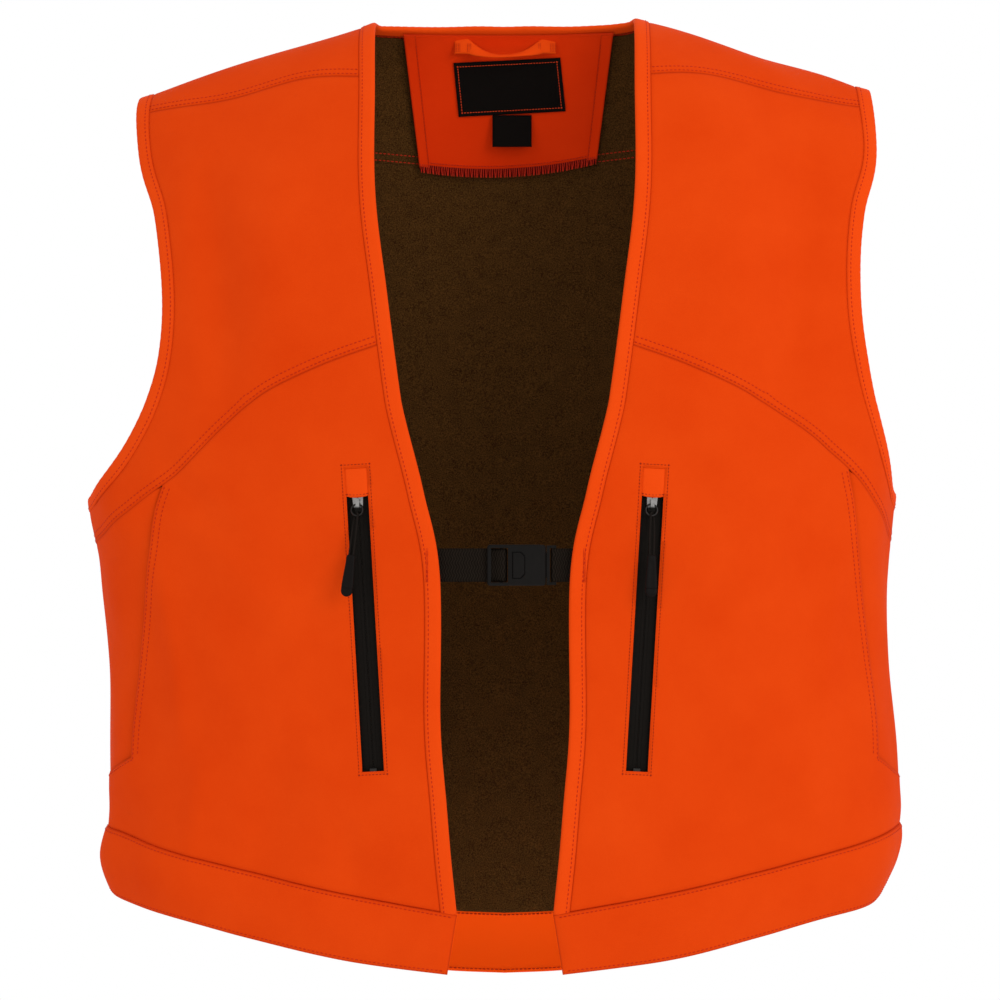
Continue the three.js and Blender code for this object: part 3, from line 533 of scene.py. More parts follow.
def cloth(name, blocks, depth, material, slot="orange_softshell", roll=0.5, gap=0.0, held="stretched", zip_side=None):
    """A sheet between two depths off the trunk, whose outer face rolls over at its edges."""
    places, lifts, quads, edges = joined(blocks)
    base, norms = form(places), normal(places)
    border = np.unique(edges)
    edge = distance_to(base, base[border])
    inward = np.zeros_like(base)
    along = unit(base[edges[:, 1]] - base[edges[:, 0]])
    for k in (0, 1):
        np.add.at(inward, edges[:, k], np.cross(norms[edges[:, k]], along))
    outer = lay(places, depth[1] + lifts - roll * np.exp(-((edge / 1.1) ** 2)))
    inner = lay(places, depth[0] + lifts)
    shift = unit(inward) * gap
    shift[np.linalg.norm(inward, axis=1) < 1e-6] = 0
    count = len(places)
    faces = np.vstack([
        quads + count,
        quads[:, ::-1],
        np.stack([edges[:, 0], edges[:, 1], edges[:, 1] + count, edges[:, 0] + count], -1),
    ])
    # Painted shade: the cloth's colour is darkened along its edges, where seams sink and would lie in shade.
    crease = np.tile(np.exp(-((edge / 0.85) ** 2)), 2)
    inside = np.repeat([1.0, 0.0], count)
    obj = new_object(name, np.vstack([inner + shift, outer + shift]), faces, material,
                     {"crease": crease, "inside": inside}, np.vstack([places, places]))
    if zip_side:
        cut_zip_slot(obj, zip_side)
    settle(obj, "vest")
    declare_cloth(outer, quads)


def both_sides(name, blocks, depth, material, zipped=False, **options):
    for side, parts in (("left", blocks), ("right", [mirrored(b) for b in blocks])):
        cloth(f"{side}_{name}", parts, depth, material, zip_side=side if zipped else None, **options)


def bonded(make, name, blocks, **options):
    """A face cloth and the fleece bonded behind it."""
    make(name, blocks, FACE, panel_face, **options)
    make(f"{name}_fleece", blocks, FLEECE, fleece, slot="fleece_backing", roll=0.3, gap=-0.2, **options)


PUCKER_LENGTH = 6.6


def swept(name, centre, profile, sign=1, pucker=0.0, turn=1):
    """A strip laid along places; profile is its outline as (distance to the left, depth, painted seam shade)."""
    line = lambda t: np.stack([np.interp(t, np.linspace(0, 1, len(centre)), centre[:, k]) for k in (0, 1)], -1)
    count, k = len(centre), len(profile)
    run = np.concatenate([[0], np.cumsum(np.linalg.norm(np.diff(form(centre), axis=0), axis=1))])
    t = np.linspace(0, 1, count)
    rings, uv = [], []
    for across, depth, _ in profile:
        ripple = pucker * np.sin(run * 2 * math.pi / PUCKER_LENGTH + 1.4 * np.sin(run / 29)) * (1 if depth > 0 else 0.5)
        rings.append(lay(beside(line, across)(t) * np.array([sign, 1]), depth + ripple))
        uv.append(np.stack([np.full(count, across), run], -1))
    points, uv = np.stack(rings, 1), np.stack(uv, 1)
    i, j = np.arange(count - 1)[:, None], np.arange(k)[None]
    sides = np.stack([i * k + j, i * k + (j + 1) % k, (i + 1) * k + (j + 1) % k, (i + 1) * k + j], -1).reshape(-1, 4)
    faces = [list(f) for f in sides] + [list(range(k))[::-1], [(count - 1) * k + m for m in range(k)]]
    if sign * turn < 0:
        faces = [f[::-1] for f in faces]
    obj = new_object(name, points.reshape(-1, 3), faces, binding_face,
                     {"crease": np.tile([c for *_, c in profile], count)}, uv.reshape(-1, 2))
    settle(obj, "vest")
    widths = [a for a, *_ in profile]
    round((max(widths) - min(widths)) * MM, 4)


# ---- Node trees ----------------------------------------------------------------------------------------


class Strand:
    """A node socket that Python sums can use; each operator adds a Math node."""

    def __init__(self, tree, socket=None):
        self.tree, self.socket = tree, socket

    def add(self, kind, sockets=(), stops=None, out=0, **settings):
        node = self.tree.nodes.new(kind)
        for key, value in settings.items():
            setattr(node, key, value)
        if stops:
            ramp = node.color_ramp.elements
            while len(ramp) < len(stops):
                ramp.new(0.5)
            for element, (place, colour) in zip(ramp, stops):
                element.position, element.color = place, colour
        for key, value in dict(sockets).items():
            if isinstance(value, Strand):
                self.tree.links.new(value.socket, node.inputs[key])
            elif value is not None:
                node.inputs[key].default_value = value
        return Strand(self.tree, node.outputs[out])

    def sum_(self, operation, first, second=None, third=None):
        terms = {k: v for k, v in enumerate((first, second, third)) if v is not None}
        return self.add("ShaderNodeMath", terms, operation=operation)

    def __add__(self, other):
        return self.sum_("ADD", self, other)

    def __radd__(self, other):
        return self.sum_("ADD", other, self)

    def __sub__(self, other):
        return self.sum_("SUBTRACT", self, other)

    def __rsub__(self, other):
        return self.sum_("SUBTRACT", other, self)

    def __mul__(self, other):
        return self.sum_("MULTIPLY", self, other)

    def __rmul__(self, other):
        return self.sum_("MULTIPLY", other, self)

    def clamp(self):
        return self.add("ShaderNodeClamp", {0: self})

    def over(self, low, high):
        """0 below low, 1 above high, smooth between."""
        return self.add("ShaderNodeMapRange", {0: self, 1: low, 2: high}, interpolation_type="SMOOTHSTEP")

    def wave(self):
        return self.sum_("SINE", self)


def srgb(red, green, blue):
    return (*[(c / 255 / 12.92 if c <= 10 else ((c / 255 + 0.055) / 1.055) ** 2.4) for c in (red, green, blue)], 1.0)


def finish(name, roughness, build, **constants):
    """A material: build gives its colour, roughness and height from the first strand of its tree."""
    material = bpy.data.materials.new(name)
    material.use_nodes = True
    tree = material.node_tree
    shader = tree.nodes["Principled BSDF"]
    shader.inputs["Roughness"].default_value = roughness
    for key, value in constants.items():
        shader.inputs[key.replace("_", " ")].default_value = value
    first = Strand(tree)
    look = build(first)
    tree.links.new(look["colour"].socket, shader.inputs["Base Color"])
    if "roughness" in look:
        tree.links.new(look["roughness"].socket, shader.inputs["Roughness"])
    if "height" in look:
        bump = first.add("ShaderNodeBump", {"Strength": look.get("strength", 0.5), "Distance": look["distance"],
                                            "Height": look["height"]})
        tree.links.new(bump.socket, shader.inputs["Normal"])
    return material


def place_of(first, scale):
    at = first.add("ShaderNodeTexCoord", out=3)
    return first.add("ShaderNodeMapping", {"Vector": at, "Scale": (scale, scale, scale)})


def noise(first, scale, detail=2.0, rough=0.5, at=None):
    return first.add("ShaderNodeTexNoise", {"Vector": at or first.add("ShaderNodeTexCoord", out=3), "Scale": scale,
                                            "Detail": detail, "Roughness": rough})


def blend_colours(first, share, low, high):
    return first.add("ShaderNodeMix", {0: share, 6: low, 7: high}, out=2, data_type="RGBA")


def weave_of(first, pitch_u, pitch_v, shift=0.5):
    """Rows of threads that cross in the piece's own cut: a height from 0 to 1."""
    cut = first.add("ShaderNodeUVMap", uv_map="cut")
    parts = first.add("ShaderNodeSeparateXYZ", {0: cut})
    u, v = parts, Strand(first.tree, parts.socket.node.outputs[1])
    across = (u * (2 * math.pi / pitch_u)).wave()
    along = (v * (2 * math.pi / pitch_v)).wave()
    return (across * along) * 0.5 + shift


def softshell(name, colour, deep, seam_shade_colour, pitch=0.0011, grain=0.12, painted_light_inside=None):
    """A matt woven face: a fine weave, a mottle, and painted shade darkening the seams where it turns under."""

    def build(first):
        crease = first.add("ShaderNodeAttribute", attribute_name="crease", out=2)
        mottle = noise(first, 14, 4, 0.6)
        fine = noise(first, 1500, 2, 0.7)
        weave = weave_of(first, pitch, pitch)
        share = (mottle * 0.9 + fine * 0.5 - 0.35 + weave * grain).clamp()
        face = blend_colours(first, share, deep, colour)
        # Painted shade: the dark seam colour is mixed in where the mask is high, standing in for the shade in the
        # seams.
        face = blend_colours(first, (crease * 0.42).clamp(), face, seam_shade_colour)
        # Painted light: the inside face gets a brighter colour to stand in for light where it lies in shade.
        if painted_light_inside:
            inside = first.add("ShaderNodeAttribute", attribute_name="inside", out=2)
            face = blend_colours(first, inside, face, painted_light_inside)
        return {"colour": face, "roughness": 0.98 - mottle * 0.2, "height": weave * 0.6 + fine * 0.7,
                "distance": 0.00022, "strength": 0.4}

    return finish(name, 0.85, build, Specular_IOR_Level=0.06)


ORANGE = srgb(212, 66, 4)
ORANGE_DEEP = srgb(196, 51, 1)
# The dark seam colour below is painted shade for the seams, not a colour of the cloth.
SEAM_SHADE_RED = srgb(146, 25, 3)
panel_face = softshell("blaze softshell face", ORANGE, ORANGE_DEEP, SEAM_SHADE_RED)
# The bands' inside faces are painted brighter, as painted light standing in for the light they lack in shade.
band_face = softshell("blaze softshell band", ORANGE, ORANGE_DEEP, SEAM_SHADE_RED, painted_light_inside=srgb(252, 80, 5))
binding_face = softshell("blaze binding tape", srgb(218, 69, 8), srgb(207, 58, 4), SEAM_SHADE_RED, pitch=0.0014, grain=0.3)
facing_face = softshell("blaze facing cloth", srgb(224, 54, 3), srgb(206, 43, 1), srgb(110, 18, 4), pitch=0.0012)

overlock_cloth = softshell("dark cut edge of the facing", srgb(86, 12, 4), srgb(58, 6, 2), srgb(50, 5, 2))

def fleece_look(first):
    tufts = noise(first, 950, 3, 0.8)
    clumps = noise(first, 95, 3, 0.6)
    share = (tufts * 2.6 + clumps * 0.35 - 1.05).clamp()
    return {"colour": blend_colours(first, share, srgb(33, 18, 5), srgb(98, 64, 28)), "height": tufts + clumps * 0.6,
            "distance": 0.0012, "strength": 0.7}


fleece = finish("brown fleece backing", 1.0, fleece_look, Specular_IOR_Level=0.04)


def woven_black(name, low, high, pitch, rough=0.75, distance=0.00025):
    def build(first):
        at = place_of(first, 1.0)
        parts = first.add("ShaderNodeSeparateXYZ", {0: at})
        x, z = parts, Strand(first.tree, parts.socket.node.outputs[2])
        slant = ((x + z) * (2 * math.pi / pitch)).wave() * ((z - x) * (2 * math.pi / pitch)).wave()
        fine = noise(first, 1800, 2, 0.6)
        share = (slant * 0.3 + fine * 0.9 - 0.05).clamp()
        return {"colour": blend_colours(first, share, low, high), "height": slant * 0.5 + fine * 0.4,
                "distance": distance, "strength": 0.6}

    return finish(name, rough, build, Specular_IOR_Level=0.05)


tape_cloth = woven_black("black zip tape", srgb(8, 6, 5), srgb(28, 24, 20), 0.0013)
label_face = woven_black("black label cloth", srgb(6, 4, 3), srgb(20, 15, 12), 0.0009)
cord_braid = woven_black("black braided cord", srgb(9, 7, 6), srgb(38, 32, 28), 0.0012, 0.8)


def moulded(name, low, high, roughness):
    def build(first):
        fine = noise(first, 900, 3, 0.6)
        wear = noise(first, 60, 3, 0.6)
        share = (fine * 0.6 + wear * 0.5 - 0.1).clamp()
        return {"colour": blend_colours(first, share, low, high), "roughness": roughness + wear * 0.18,
                "height": fine, "distance": 0.00006, "strength": 0.35}

    return finish(name, roughness, build, Specular_IOR_Level=0.07)


buckle_plastic = moulded("black buckle plastic", srgb(8, 7, 6), srgb(22, 19, 17), 0.36)
tab_rubber = moulded("black moulded tab", srgb(6, 4, 3), srgb(18, 13, 11), 0.5)
coil_nylon = moulded("black coil nylon", srgb(10, 8, 7), srgb(30, 26, 23), 0.34)


def gunmetal_look(first):
    scratches = noise(first, 400, 4, 0.6)
    patches = noise(first, 70, 2, 0.5)
    share = (scratches * 0.7 + patches * 0.5 - 0.1).clamp()
    return {"colour": blend_colours(first, share, srgb(96, 94, 92), srgb(176, 174, 172)),
            "roughness": 0.18 + scratches * 0.2, "height": scratches, "distance": 0.00004, "strength": 0.3}


def slider_look(first):
    look = gunmetal_look(first)
    parts = first.add("ShaderNodeSeparateXYZ", {0: place_of(first, 1.0)})
    # Above a set height, at its nose, the slider takes the bright metal colour; below it, a dark one.
    nose_share = Strand(first.tree, parts.socket.node.outputs[2]).over(-0.3812, -0.3792)
    return {**look, "colour": blend_colours(first, nose_share, srgb(26, 24, 22), look["colour"])}


slider_metal = finish("slider with a bright nose", 0.28, slider_look, Metallic=1.0)


def ring_look(first):
    scratches = noise(first, 500, 3, 0.6)
    return {"colour": blend_colours(first, scratches, srgb(12, 10, 9), srgb(44, 40, 37)),
            "roughness": 0.25 + scratches * 0.2, "height": scratches, "distance": 0.00004, "strength": 0.3}


black_ring = finish("blackened ring", 0.32, ring_look, Metallic=0.6)


def webbing_look(first):
    cut = first.add("ShaderNodeUVMap", uv_map="cut")
    parts = first.add("ShaderNodeSeparateXYZ", {0: cut})
    u, v = parts, Strand(first.tree, parts.socket.node.outputs[1])
    zig = (v * (2 * math.pi / 0.0064)).wave() * 2.2
    ribs = (u * (2 * math.pi / 0.0021) + zig).wave() * 0.5 + 0.5
    picks = (u * (2 * math.pi / 0.0009)).wave() * 0.5 + 0.5
    fine = noise(first, 1600, 2, 0.6)
    share = (ribs * 0.45 + fine * 0.5 + picks * 0.15 - 0.1).clamp()
    return {"colour": blend_colours(first, share, srgb(3, 2, 1), srgb(38, 31, 25)), "height": ribs + picks * 0.4,
            "distance": 0.0005, "strength": 0.8, "roughness": 0.72 - ribs * 0.15}


webbing = finish("black ribbed webbing", 0.65, webbing_look, Specular_IOR_Level=0.02)


def thread_of(name, low, high):
    def build(first):
        fine = noise(first, 700, 2, 0.6)
        return {"colour": blend_colours(first, fine, low, high), "height": noise(first, 2600, 1, 0.5),
                "distance": 0.0001, "strength": 0.5}

    return finish(name, 0.6, build, Specular_IOR_Level=0.1)


stitch_thread = thread_of("red orange stitching", srgb(150, 23, 2), srgb(190, 38, 5))
overlock_thread = thread_of("red overlock thread", srgb(150, 24, 8), srgb(214, 48, 20))
dark_thread = thread_of("dark red seam thread", srgb(96, 15, 5), srgb(150, 30, 8))
bright_thread = thread_of("bright orange stitching", srgb(205, 50, 14), srgb(236, 76, 26))

# ---- What repeats along a path -------------------------------------------------------------------------


def path_tree(name, numbers, body):
    """A Geometry Nodes tree with named number inputs and a material, ending in plain faces."""
    tree = bpy.data.node_groups.new(name, "GeometryNodeTree")
    tree.interface.new_socket("Path", in_out="INPUT", socket_type="NodeSocketGeometry")
    for number in numbers:
        tree.interface.new_socket(number, in_out="INPUT", socket_type="NodeSocketFloat")
    tree.interface.new_socket("Material", in_out="INPUT", socket_type="NodeSocketMaterial")
    tree.interface.new_socket("Piece", in_out="OUTPUT", socket_type="NodeSocketGeometry")
    given = tree.nodes.new("NodeGroupInput")
    sockets = {s.name: Strand(tree, s) for s in given.outputs if s.name}
    first = Strand(tree)
    shape = body(first, sockets)
    real = first.add("GeometryNodeRealizeInstances", {0: shape})
    smooth = first.add("GeometryNodeSetShadeSmooth", {0: real})
    done = first.add("GeometryNodeSetMaterial", {0: smooth, "Material": sockets["Material"]})
    result = tree.nodes.new("NodeGroupOutput")
    tree.links.new(done.socket, result.inputs[0])
    return tree


def stitch_body(first, given):
    curve = first.add("GeometryNodeMeshToCurve", {0: given["Path"]})
    spots = first.add("GeometryNodeResampleCurve", {"Curve": curve, "Length": given["Pitch"]}, mode="LENGTH")
    size = first.add("ShaderNodeCombineXYZ", {0: given["Thread"], 1: given["Thread"], 2: given["Stitch"] * 0.5})
    ball = first.add("GeometryNodeMeshUVSphere", {"Segments": 6, "Rings": 4, "Radius": 1.0})
    stitch = first.add("GeometryNodeTransform", {"Geometry": ball, "Scale": size})
    turned = first.add("FunctionNodeAlignRotationToVector", {"Vector": first.add("GeometryNodeInputTangent")}, axis="Z")
    return first.add("GeometryNodeInstanceOnPoints", {"Points": spots, "Instance": stitch, "Rotation": turned})


def thread_body(first, given):
    curve = first.add("GeometryNodeMeshToCurve", {0: given["Path"]})
    ring = first.add("GeometryNodeCurvePrimitiveCircle", {"Resolution": 6, "Radius": given["Thread"]}, mode="RADIUS")
    return first.add("GeometryNodeCurveToMesh", {"Curve": curve, "Profile Curve": ring, "Fill Caps": True})


def tooth_body(first, given):
    curve = first.add("GeometryNodeMeshToCurve", {0: given["Path"]})
    spots = first.add("GeometryNodeResampleCurve", {"Curve": curve, "Length": given["Pitch"]}, mode="LENGTH")
    size = first.add("ShaderNodeCombineXYZ", {0: given["Wide"] * 0.5, 1: given["Thread"], 2: given["Thread"]})
    ball = first.add("GeometryNodeMeshUVSphere", {"Segments": 8, "Rings": 4, "Radius": 1.0})
    tooth = first.add("GeometryNodeTransform", {"Geometry": ball, "Scale": size})
    index = first.add("GeometryNodeInputIndex")
    odd = first.add("ShaderNodeMath", {0: index, 1: 2.0}, operation="MODULO")
    lean = first.add("ShaderNodeCombineXYZ", {1: 0.0, 2: (odd - 0.5) * 0.5})
    shift = first.add("ShaderNodeCombineXYZ", {0: (odd - 0.5) * 0.0016})
    placed = first.add("GeometryNodeInstanceOnPoints", {"Points": spots, "Instance": tooth, "Rotation": lean})
    return first.add("GeometryNodeTranslateInstances", {"Instances": placed, "Translation": shift})


stitch_row = path_tree("row of stitches", ("Pitch", "Stitch", "Thread"), stitch_body)
thread_run = path_tree("run of thread", ("Thread",), thread_body)
coil_teeth = path_tree("coil teeth", ("Pitch", "Wide", "Thread"), tooth_body)


def grow(name, tree, paths, material, body="vest", slot="orange_softshell", nodes=(), **numbers):
    """What a tree makes along paths of points, as a plain piece."""
    points, edges = [], []
    for path in paths:
        edges += [(len(points) + k, len(points) + k + 1) for k in range(len(path) - 1)]
        points += [tuple(p) for p in np.asarray(path) * MM]
    mesh = bpy.data.meshes.new(name + "_path")
    mesh.from_pydata(points, edges, [])
    source = bpy.data.objects.new(name + "_path", mesh)
    scene.collection.objects.link(source)
    modifier = source.modifiers.new("grow", "NODES")
    modifier.node_group = tree
    values = {**{k.replace("_", " ").capitalize(): v * MM for k, v in numbers.items()}, "Material": material}
    for item in tree.interface.items_tree:
        if item.in_out == "INPUT" and item.name in values:
            modifier[item.identifier] = values[item.name]
    ready = source.evaluated_get(bpy.context.evaluated_depsgraph_get())
    plain = bpy.data.meshes.new_from_object(ready)
    bpy.data.objects.remove(source)
    obj = bpy.data.objects.new(name, plain)
    if not plain.materials:
        plain.materials.append(material)
    scene.collection.objects.link(obj)
    return settle(obj, body, nodes)


def line_on(curve, depth, start=0.0, end=1.0, spacing=3.0, offset=0.0, sign=1):
    """Points along a seam, at a distance beside it, on the cloth."""
    run = beside(curve, offset) if offset else curve
    return lay(samples(run, spacing, start=start, end=end) * np.array([sign, 1]), depth)
# ---- Cloth pieces --------------------------------------------------------------------------------------

FACE, FLEECE, BAND = (0.15, 1.3), (-1.3, -0.15), (0.3, 2.9)
ZIP_WINDOW, GARAGE = 18.0, 21.0

zip_top, zip_bottom = form(on_front(*ZIP_TOP)), form(on_front(*ZIP_BOTTOM))
zip_length = float(np.linalg.norm(zip_top - zip_bottom))
zip_up = unit(zip_top - zip_bottom)
zip_across = unit(np.cross(zip_up, normal(on_front(*((ZIP_TOP + ZIP_BOTTOM) / 2)))))
zip_in = np.cross(zip_up, zip_across)


def on_zip(points, side):
    """Points from a zip's own axes: across, into the body and up, from its top."""
    p = np.asarray(points, float)
    world_points = zip_top + p[..., :1] * zip_across + p[..., 1:2] * zip_in + p[..., 2:3] * zip_up
    return world_points * np.array([1 if side == "left" else -1, 1, 1])


def box_faces():
    return [[0, 1, 3, 2], [4, 6, 7, 5], [0, 4, 5, 1], [2, 3, 7, 6], [0, 2, 6, 4], [1, 5, 7, 3]]


def cut_zip_slot(obj, side):
    low, high = (-ZIP_WINDOW / 2, -15, -zip_length), (ZIP_WINDOW / 2, 15, GARAGE)
    corners = [(x, y, z) for x in (low[0], high[0]) for y in (low[1], high[1]) for z in (low[2], high[2])]
    faces = box_faces() if side == "left" else [f[::-1] for f in box_faces()]
    cutter = new_object("zip_cutter", on_zip(corners, side), faces, panel_face)
    slot_cut = obj.modifiers.new("slot", "BOOLEAN")
    slot_cut.object, slot_cut.operation, slot_cut.solver = cutter, "DIFFERENCE", "EXACT"
    ready = obj.evaluated_get(bpy.context.evaluated_depsgraph_get())
    done = bpy.data.meshes.new_from_object(ready)
    obj.modifiers.clear()
    obj.data = done
    bpy.data.objects.remove(cutter)


FOOT, PANEL, TURN, YOKE, SHOULDER, OVER_NECK, BACK, LOW_SIDE = 24, 74, 12, 66, 16, 24, 64, 40
to_side = lambda curve: (lambda t: curve(1 - (1 - np.asarray(t, float)) ** 1.4))

panel_line = straight(binding_line(pocket_height), pocket_corner)
panel_fold = straight(front_band_top(pocket_column), pocket_corner)
pocket_side = part(chest_seam, POCKET_TOP, 1)
front_panel_blocks = [
    block(part(front_band_top, band_foot, pocket_column), panel_line, part(binding_line, 0, pocket_height), panel_fold,
          56, FOOT),
    block(part(front_band_top, pocket_column, 1), pocket_floor, panel_fold,
          straight(front_band_top(1), pocket_floor(1)), 20, FOOT),
    block(panel_line, part(chest_seam, 0, POCKET_TOP), part(binding_line, pocket_height, chest_start), pocket_mouth,
          56, PANEL),
]
yoke_turn = straight(chest_seam(POCKET_TOP), armhole_line(arm_turn))
turn_share = TURN / (TURN + YOKE)
yoke_side = chain(yoke_turn, part(armhole_line, arm_turn, shoulder_end), turn_share)
front_yoke_blocks = [
    block(part(chest_seam, 0, POCKET_TOP), shoulder_seam, part(binding_line, chest_start, shoulder_start), yoke_side,
          52, steps((TURN, turn_share), (YOKE, 1))),
    block(pocket_side, part(armhole_line, arm_turn, 0), yoke_turn, straight(chest_seam(1), armhole_line(0)), 20, TURN),
]
under_top = POCKET_TOP - 0.045
under_edge = seam([*beside(pocket_mouth, 14)(np.array([0, 0.3, 0.6, 0.85])), chest_seam(under_top)])
side_panel_blocks = [
    block(
        chain(straight(under_edge(0), pocket_corner), pocket_floor, 0.25),
        chain(part(chest_seam, under_top, POCKET_TOP), pocket_side, 0.25),
        under_edge, straight(pocket_floor(1), chest_seam(1)),
        steps((8, 0.25), (24, 1)), 56, lambda u, v: -3.6 * (1 - u) ** 0.5 * (1 - soft_step(u, 0.23, 0.29) * v**12),
    )
]
over_neck = straight(binding_line(neck_point), yoke_seam(YOKE_SHARE))
neck_share = SHOULDER / (SHOULDER + OVER_NECK)
yoke_inner = chain(part(binding_line, shoulder_start, neck_point), over_neck, neck_share)
back_yoke_blocks = whole([
    block(part(binding_line, 1, neck_point), part(yoke_seam, 0, YOKE_SHARE), straight(binding_line(1), yoke_seam(0)),
          over_neck, 26, OVER_NECK),
    block(shoulder_seam, part(yoke_seam, YOKE_SHARE, 1), yoke_inner, part(armhole_line, shoulder_end, yoke_end),
          48, steps((SHOULDER, neck_share), (OVER_NECK, 1))),
])
back_share = BACK / (BACK + LOW_SIDE)
back_side = chain(part(armhole_line, yoke_end, 1), straight(armhole_line(1), back_band_top(1)), back_share)
back_panel_blocks = whole([
    block(to_side(yoke_seam), to_side(back_band_top), straight(yoke_seam(0), back_band_top(0)), back_side, 84,
          steps((BACK, back_share), (LOW_SIDE, 1)))
])
front_band_blocks = [
    block(front_band_bottom, front_band_top, straight(front_band_bottom(0), front_band_top(0)),
          straight(front_band_bottom(1), front_band_top(1)), 86, 15,
          lambda u, v: 3.5 * np.sin(math.pi * v) * (1 - 0.6 * np.exp(-((u / 0.012) ** 2))))
]
back_band_blocks = whole([
    block(to_side(back_band_top), to_side(back_band_bottom), straight(back_band_top(0), back_band_bottom(0)),
          straight(back_band_top(1), back_band_bottom(1)), 84, 15, lambda u, v: 3.5 * np.sin(math.pi * v))
])

bonded(both_sides, "front_panel", front_panel_blocks, zipped=True)
bonded(both_sides, "front_yoke", front_yoke_blocks)
both_sides("side_panel", side_panel_blocks, (-1.3, 1.3), panel_face, gap=-0.2)
both_sides("hem_band", front_band_blocks, BAND, band_face, roll=0.7)
bonded(cloth, "back_yoke", back_yoke_blocks)
bonded(cloth, "back_panel", back_panel_blocks)
cloth("back_hem_band", back_band_blocks, BAND, band_face, roll=0.7)

# Bound edges: a tape folded over the edge, deeper at its rim than at its seam.
# Columns: distance across, depth, and painted shade that darkens the tape at its seam edges.
BOUND = [
    (11.9, 1.2, 1), (11.5, 1.7, 0.35), (9.8, 1.95, 0.03), (6, 2.1, 0), (3, 2.2, 0), (1.2, 1.9, 0), (0.3, 1.1, 0),
    (0, 0, 0), (0.3, -1.1, 0), (1.2, -1.9, 0), (3, -2.2, 0), (6, -2.1, 0), (9.8, -1.95, 0.03), (11.5, -1.7, 0.35),
    (11.9, -1.2, 1),
]


def bound(width, direction, thick=1.0, inside=1.0):
    """The outline of a binding; inside is the share of its width that shows on the inner face."""
    scale = direction * width / BOUND[0][0]
    return [(a * scale * (inside if d < 0 else 1), d * thick, c) for a, d, c in BOUND]


RING_SPACING = 2.2


for side, sign in (("left", 1), ("right", -1)):
    swept(f"{side}_front_binding", samples(opening_edge, RING_SPACING, end=neck_edge_point), bound(12.3, -1), sign=sign,
          pucker=0.12, turn=-1)
    swept(f"{side}_armhole_binding", samples(armhole_edge, RING_SPACING), bound(11.4, 1), sign=sign, pucker=0.12)
neck_half = samples(opening_edge, RING_SPACING, start=neck_edge_point)
neck_run = np.vstack([neck_half, (neck_half * np.array([-1, 1]))[::-1][1:]])
for _ in range(30):
    neck_run[1:-1, 1] = (neck_run[:-2, 1] + 2 * neck_run[1:-1, 1] + neck_run[2:, 1]) / 4
swept("back_neck_binding", neck_run, bound(14, -1, 1.12, 0.66), pucker=0.14, turn=-1)


# ---- The back neck: facing, label, size tab and hanger loop --------------------------------------------


def facing_place(u, v):
    """A place on the facing: u from -1 to 1 across, v from 0 at its top to 1 at its lower edge."""
    u, v = np.broadcast_arrays(np.asarray(u, float), np.asarray(v, float))
    half = 85 + (73 - 85) * v
    height = -2 - 97 * v - 7 * v * (1 - u * u) + 2.7 * u * v
    return on_back(3 + half * u, height)


def patch(place, across, down, columns, rows):
    us, vs = across[0] + (across[1] - across[0]) * steps((columns, 1)), down[0] + (down[1] - down[0]) * steps((rows, 1))
    places = place(us[None, :], vs[:, None])
    return [np.concatenate([places, np.zeros_like(places[..., :1])], -1)]


cloth("back_neck_facing", patch(facing_place, (-1, 1), (-0.05, 1), 60, 36), (-5.2, -3.6), facing_face,
      slot="orange_facing", roll=0.6)
for side, across in (("left", (0.885, 1.0)), ("right", (-1.0, -0.885))):
    cloth(f"facing_{side}_fold", patch(facing_place, across, (-0.05, 0.985), 6, 36), (-6.1, -5.25), facing_face,
          slot="orange_facing", roll=0.2, held="folded")
LABEL_TURN = math.radians(2.4)


def label_place(u, v):
    u, v = np.broadcast_arrays(np.asarray(u, float), np.asarray(v, float))
    x, z = 44.1 * u + 1.3 * (2 * v - 1), 21.4 - 42.8 * v
    return on_back(4 + x * math.cos(LABEL_TURN) - z * math.sin(LABEL_TURN),
                   -37 + x * math.sin(LABEL_TURN) + z * math.cos(LABEL_TURN))


cloth("neck_label", patch(label_place, (-1, 1), (0, 1), 34, 18), (-6.6, -5.6), label_face, slot="label_cloth",
      roll=0.25)


THIN_EDGE = 0.45  # share of a plate's thickness that is left at its rim


def plate_of(name, grid, thickness, material, body="vest"):
    """A thin sheet from a grid of middle points, with its thickness either way."""
    rows, columns = grid.shape[:2]
    du = np.gradient(grid, axis=1)
    dv = np.gradient(grid, axis=0)
    norms = unit(np.cross(du, dv))
    half = np.full((rows, columns, 1), thickness / 2)
    half[[0, -1]] = half[:, [0, -1]] = thickness / 2 * THIN_EDGE
    count = rows * columns
    points = np.vstack([(grid + norms * half).reshape(-1, 3), (grid - norms * half).reshape(-1, 3)])
    quads = grid_quads(rows, columns)
    edges = np.vstack([quads[:, [k, (k + 1) % 4]] for k in range(4)])
    code, back = edges[:, 0] * count + edges[:, 1], edges[:, 1] * count + edges[:, 0]
    rim = edges[~np.isin(code, back)]
    sides = np.stack([rim[:, 0], rim[:, 1], rim[:, 1] + count, rim[:, 0] + count], -1)
    faces = [list(f) for f in quads] + [list(f[::-1] + count) for f in quads] + [list(f[::-1]) for f in sides]
    u = np.concatenate([[0], np.cumsum(np.linalg.norm(np.diff(grid[rows // 2], axis=0), axis=1))])
    v = np.concatenate([[0], np.cumsum(np.linalg.norm(np.diff(grid[:, columns // 2], axis=0), axis=1))])
    cut_uv = np.stack(np.broadcast_arrays(u[None, :], v[:, None]), -1).reshape(-1, 2)
    obj = new_object(name, points, faces, material, {"crease": np.zeros(2 * count)}, np.vstack([cut_uv, cut_uv]))
    settle(obj, body)
    return obj


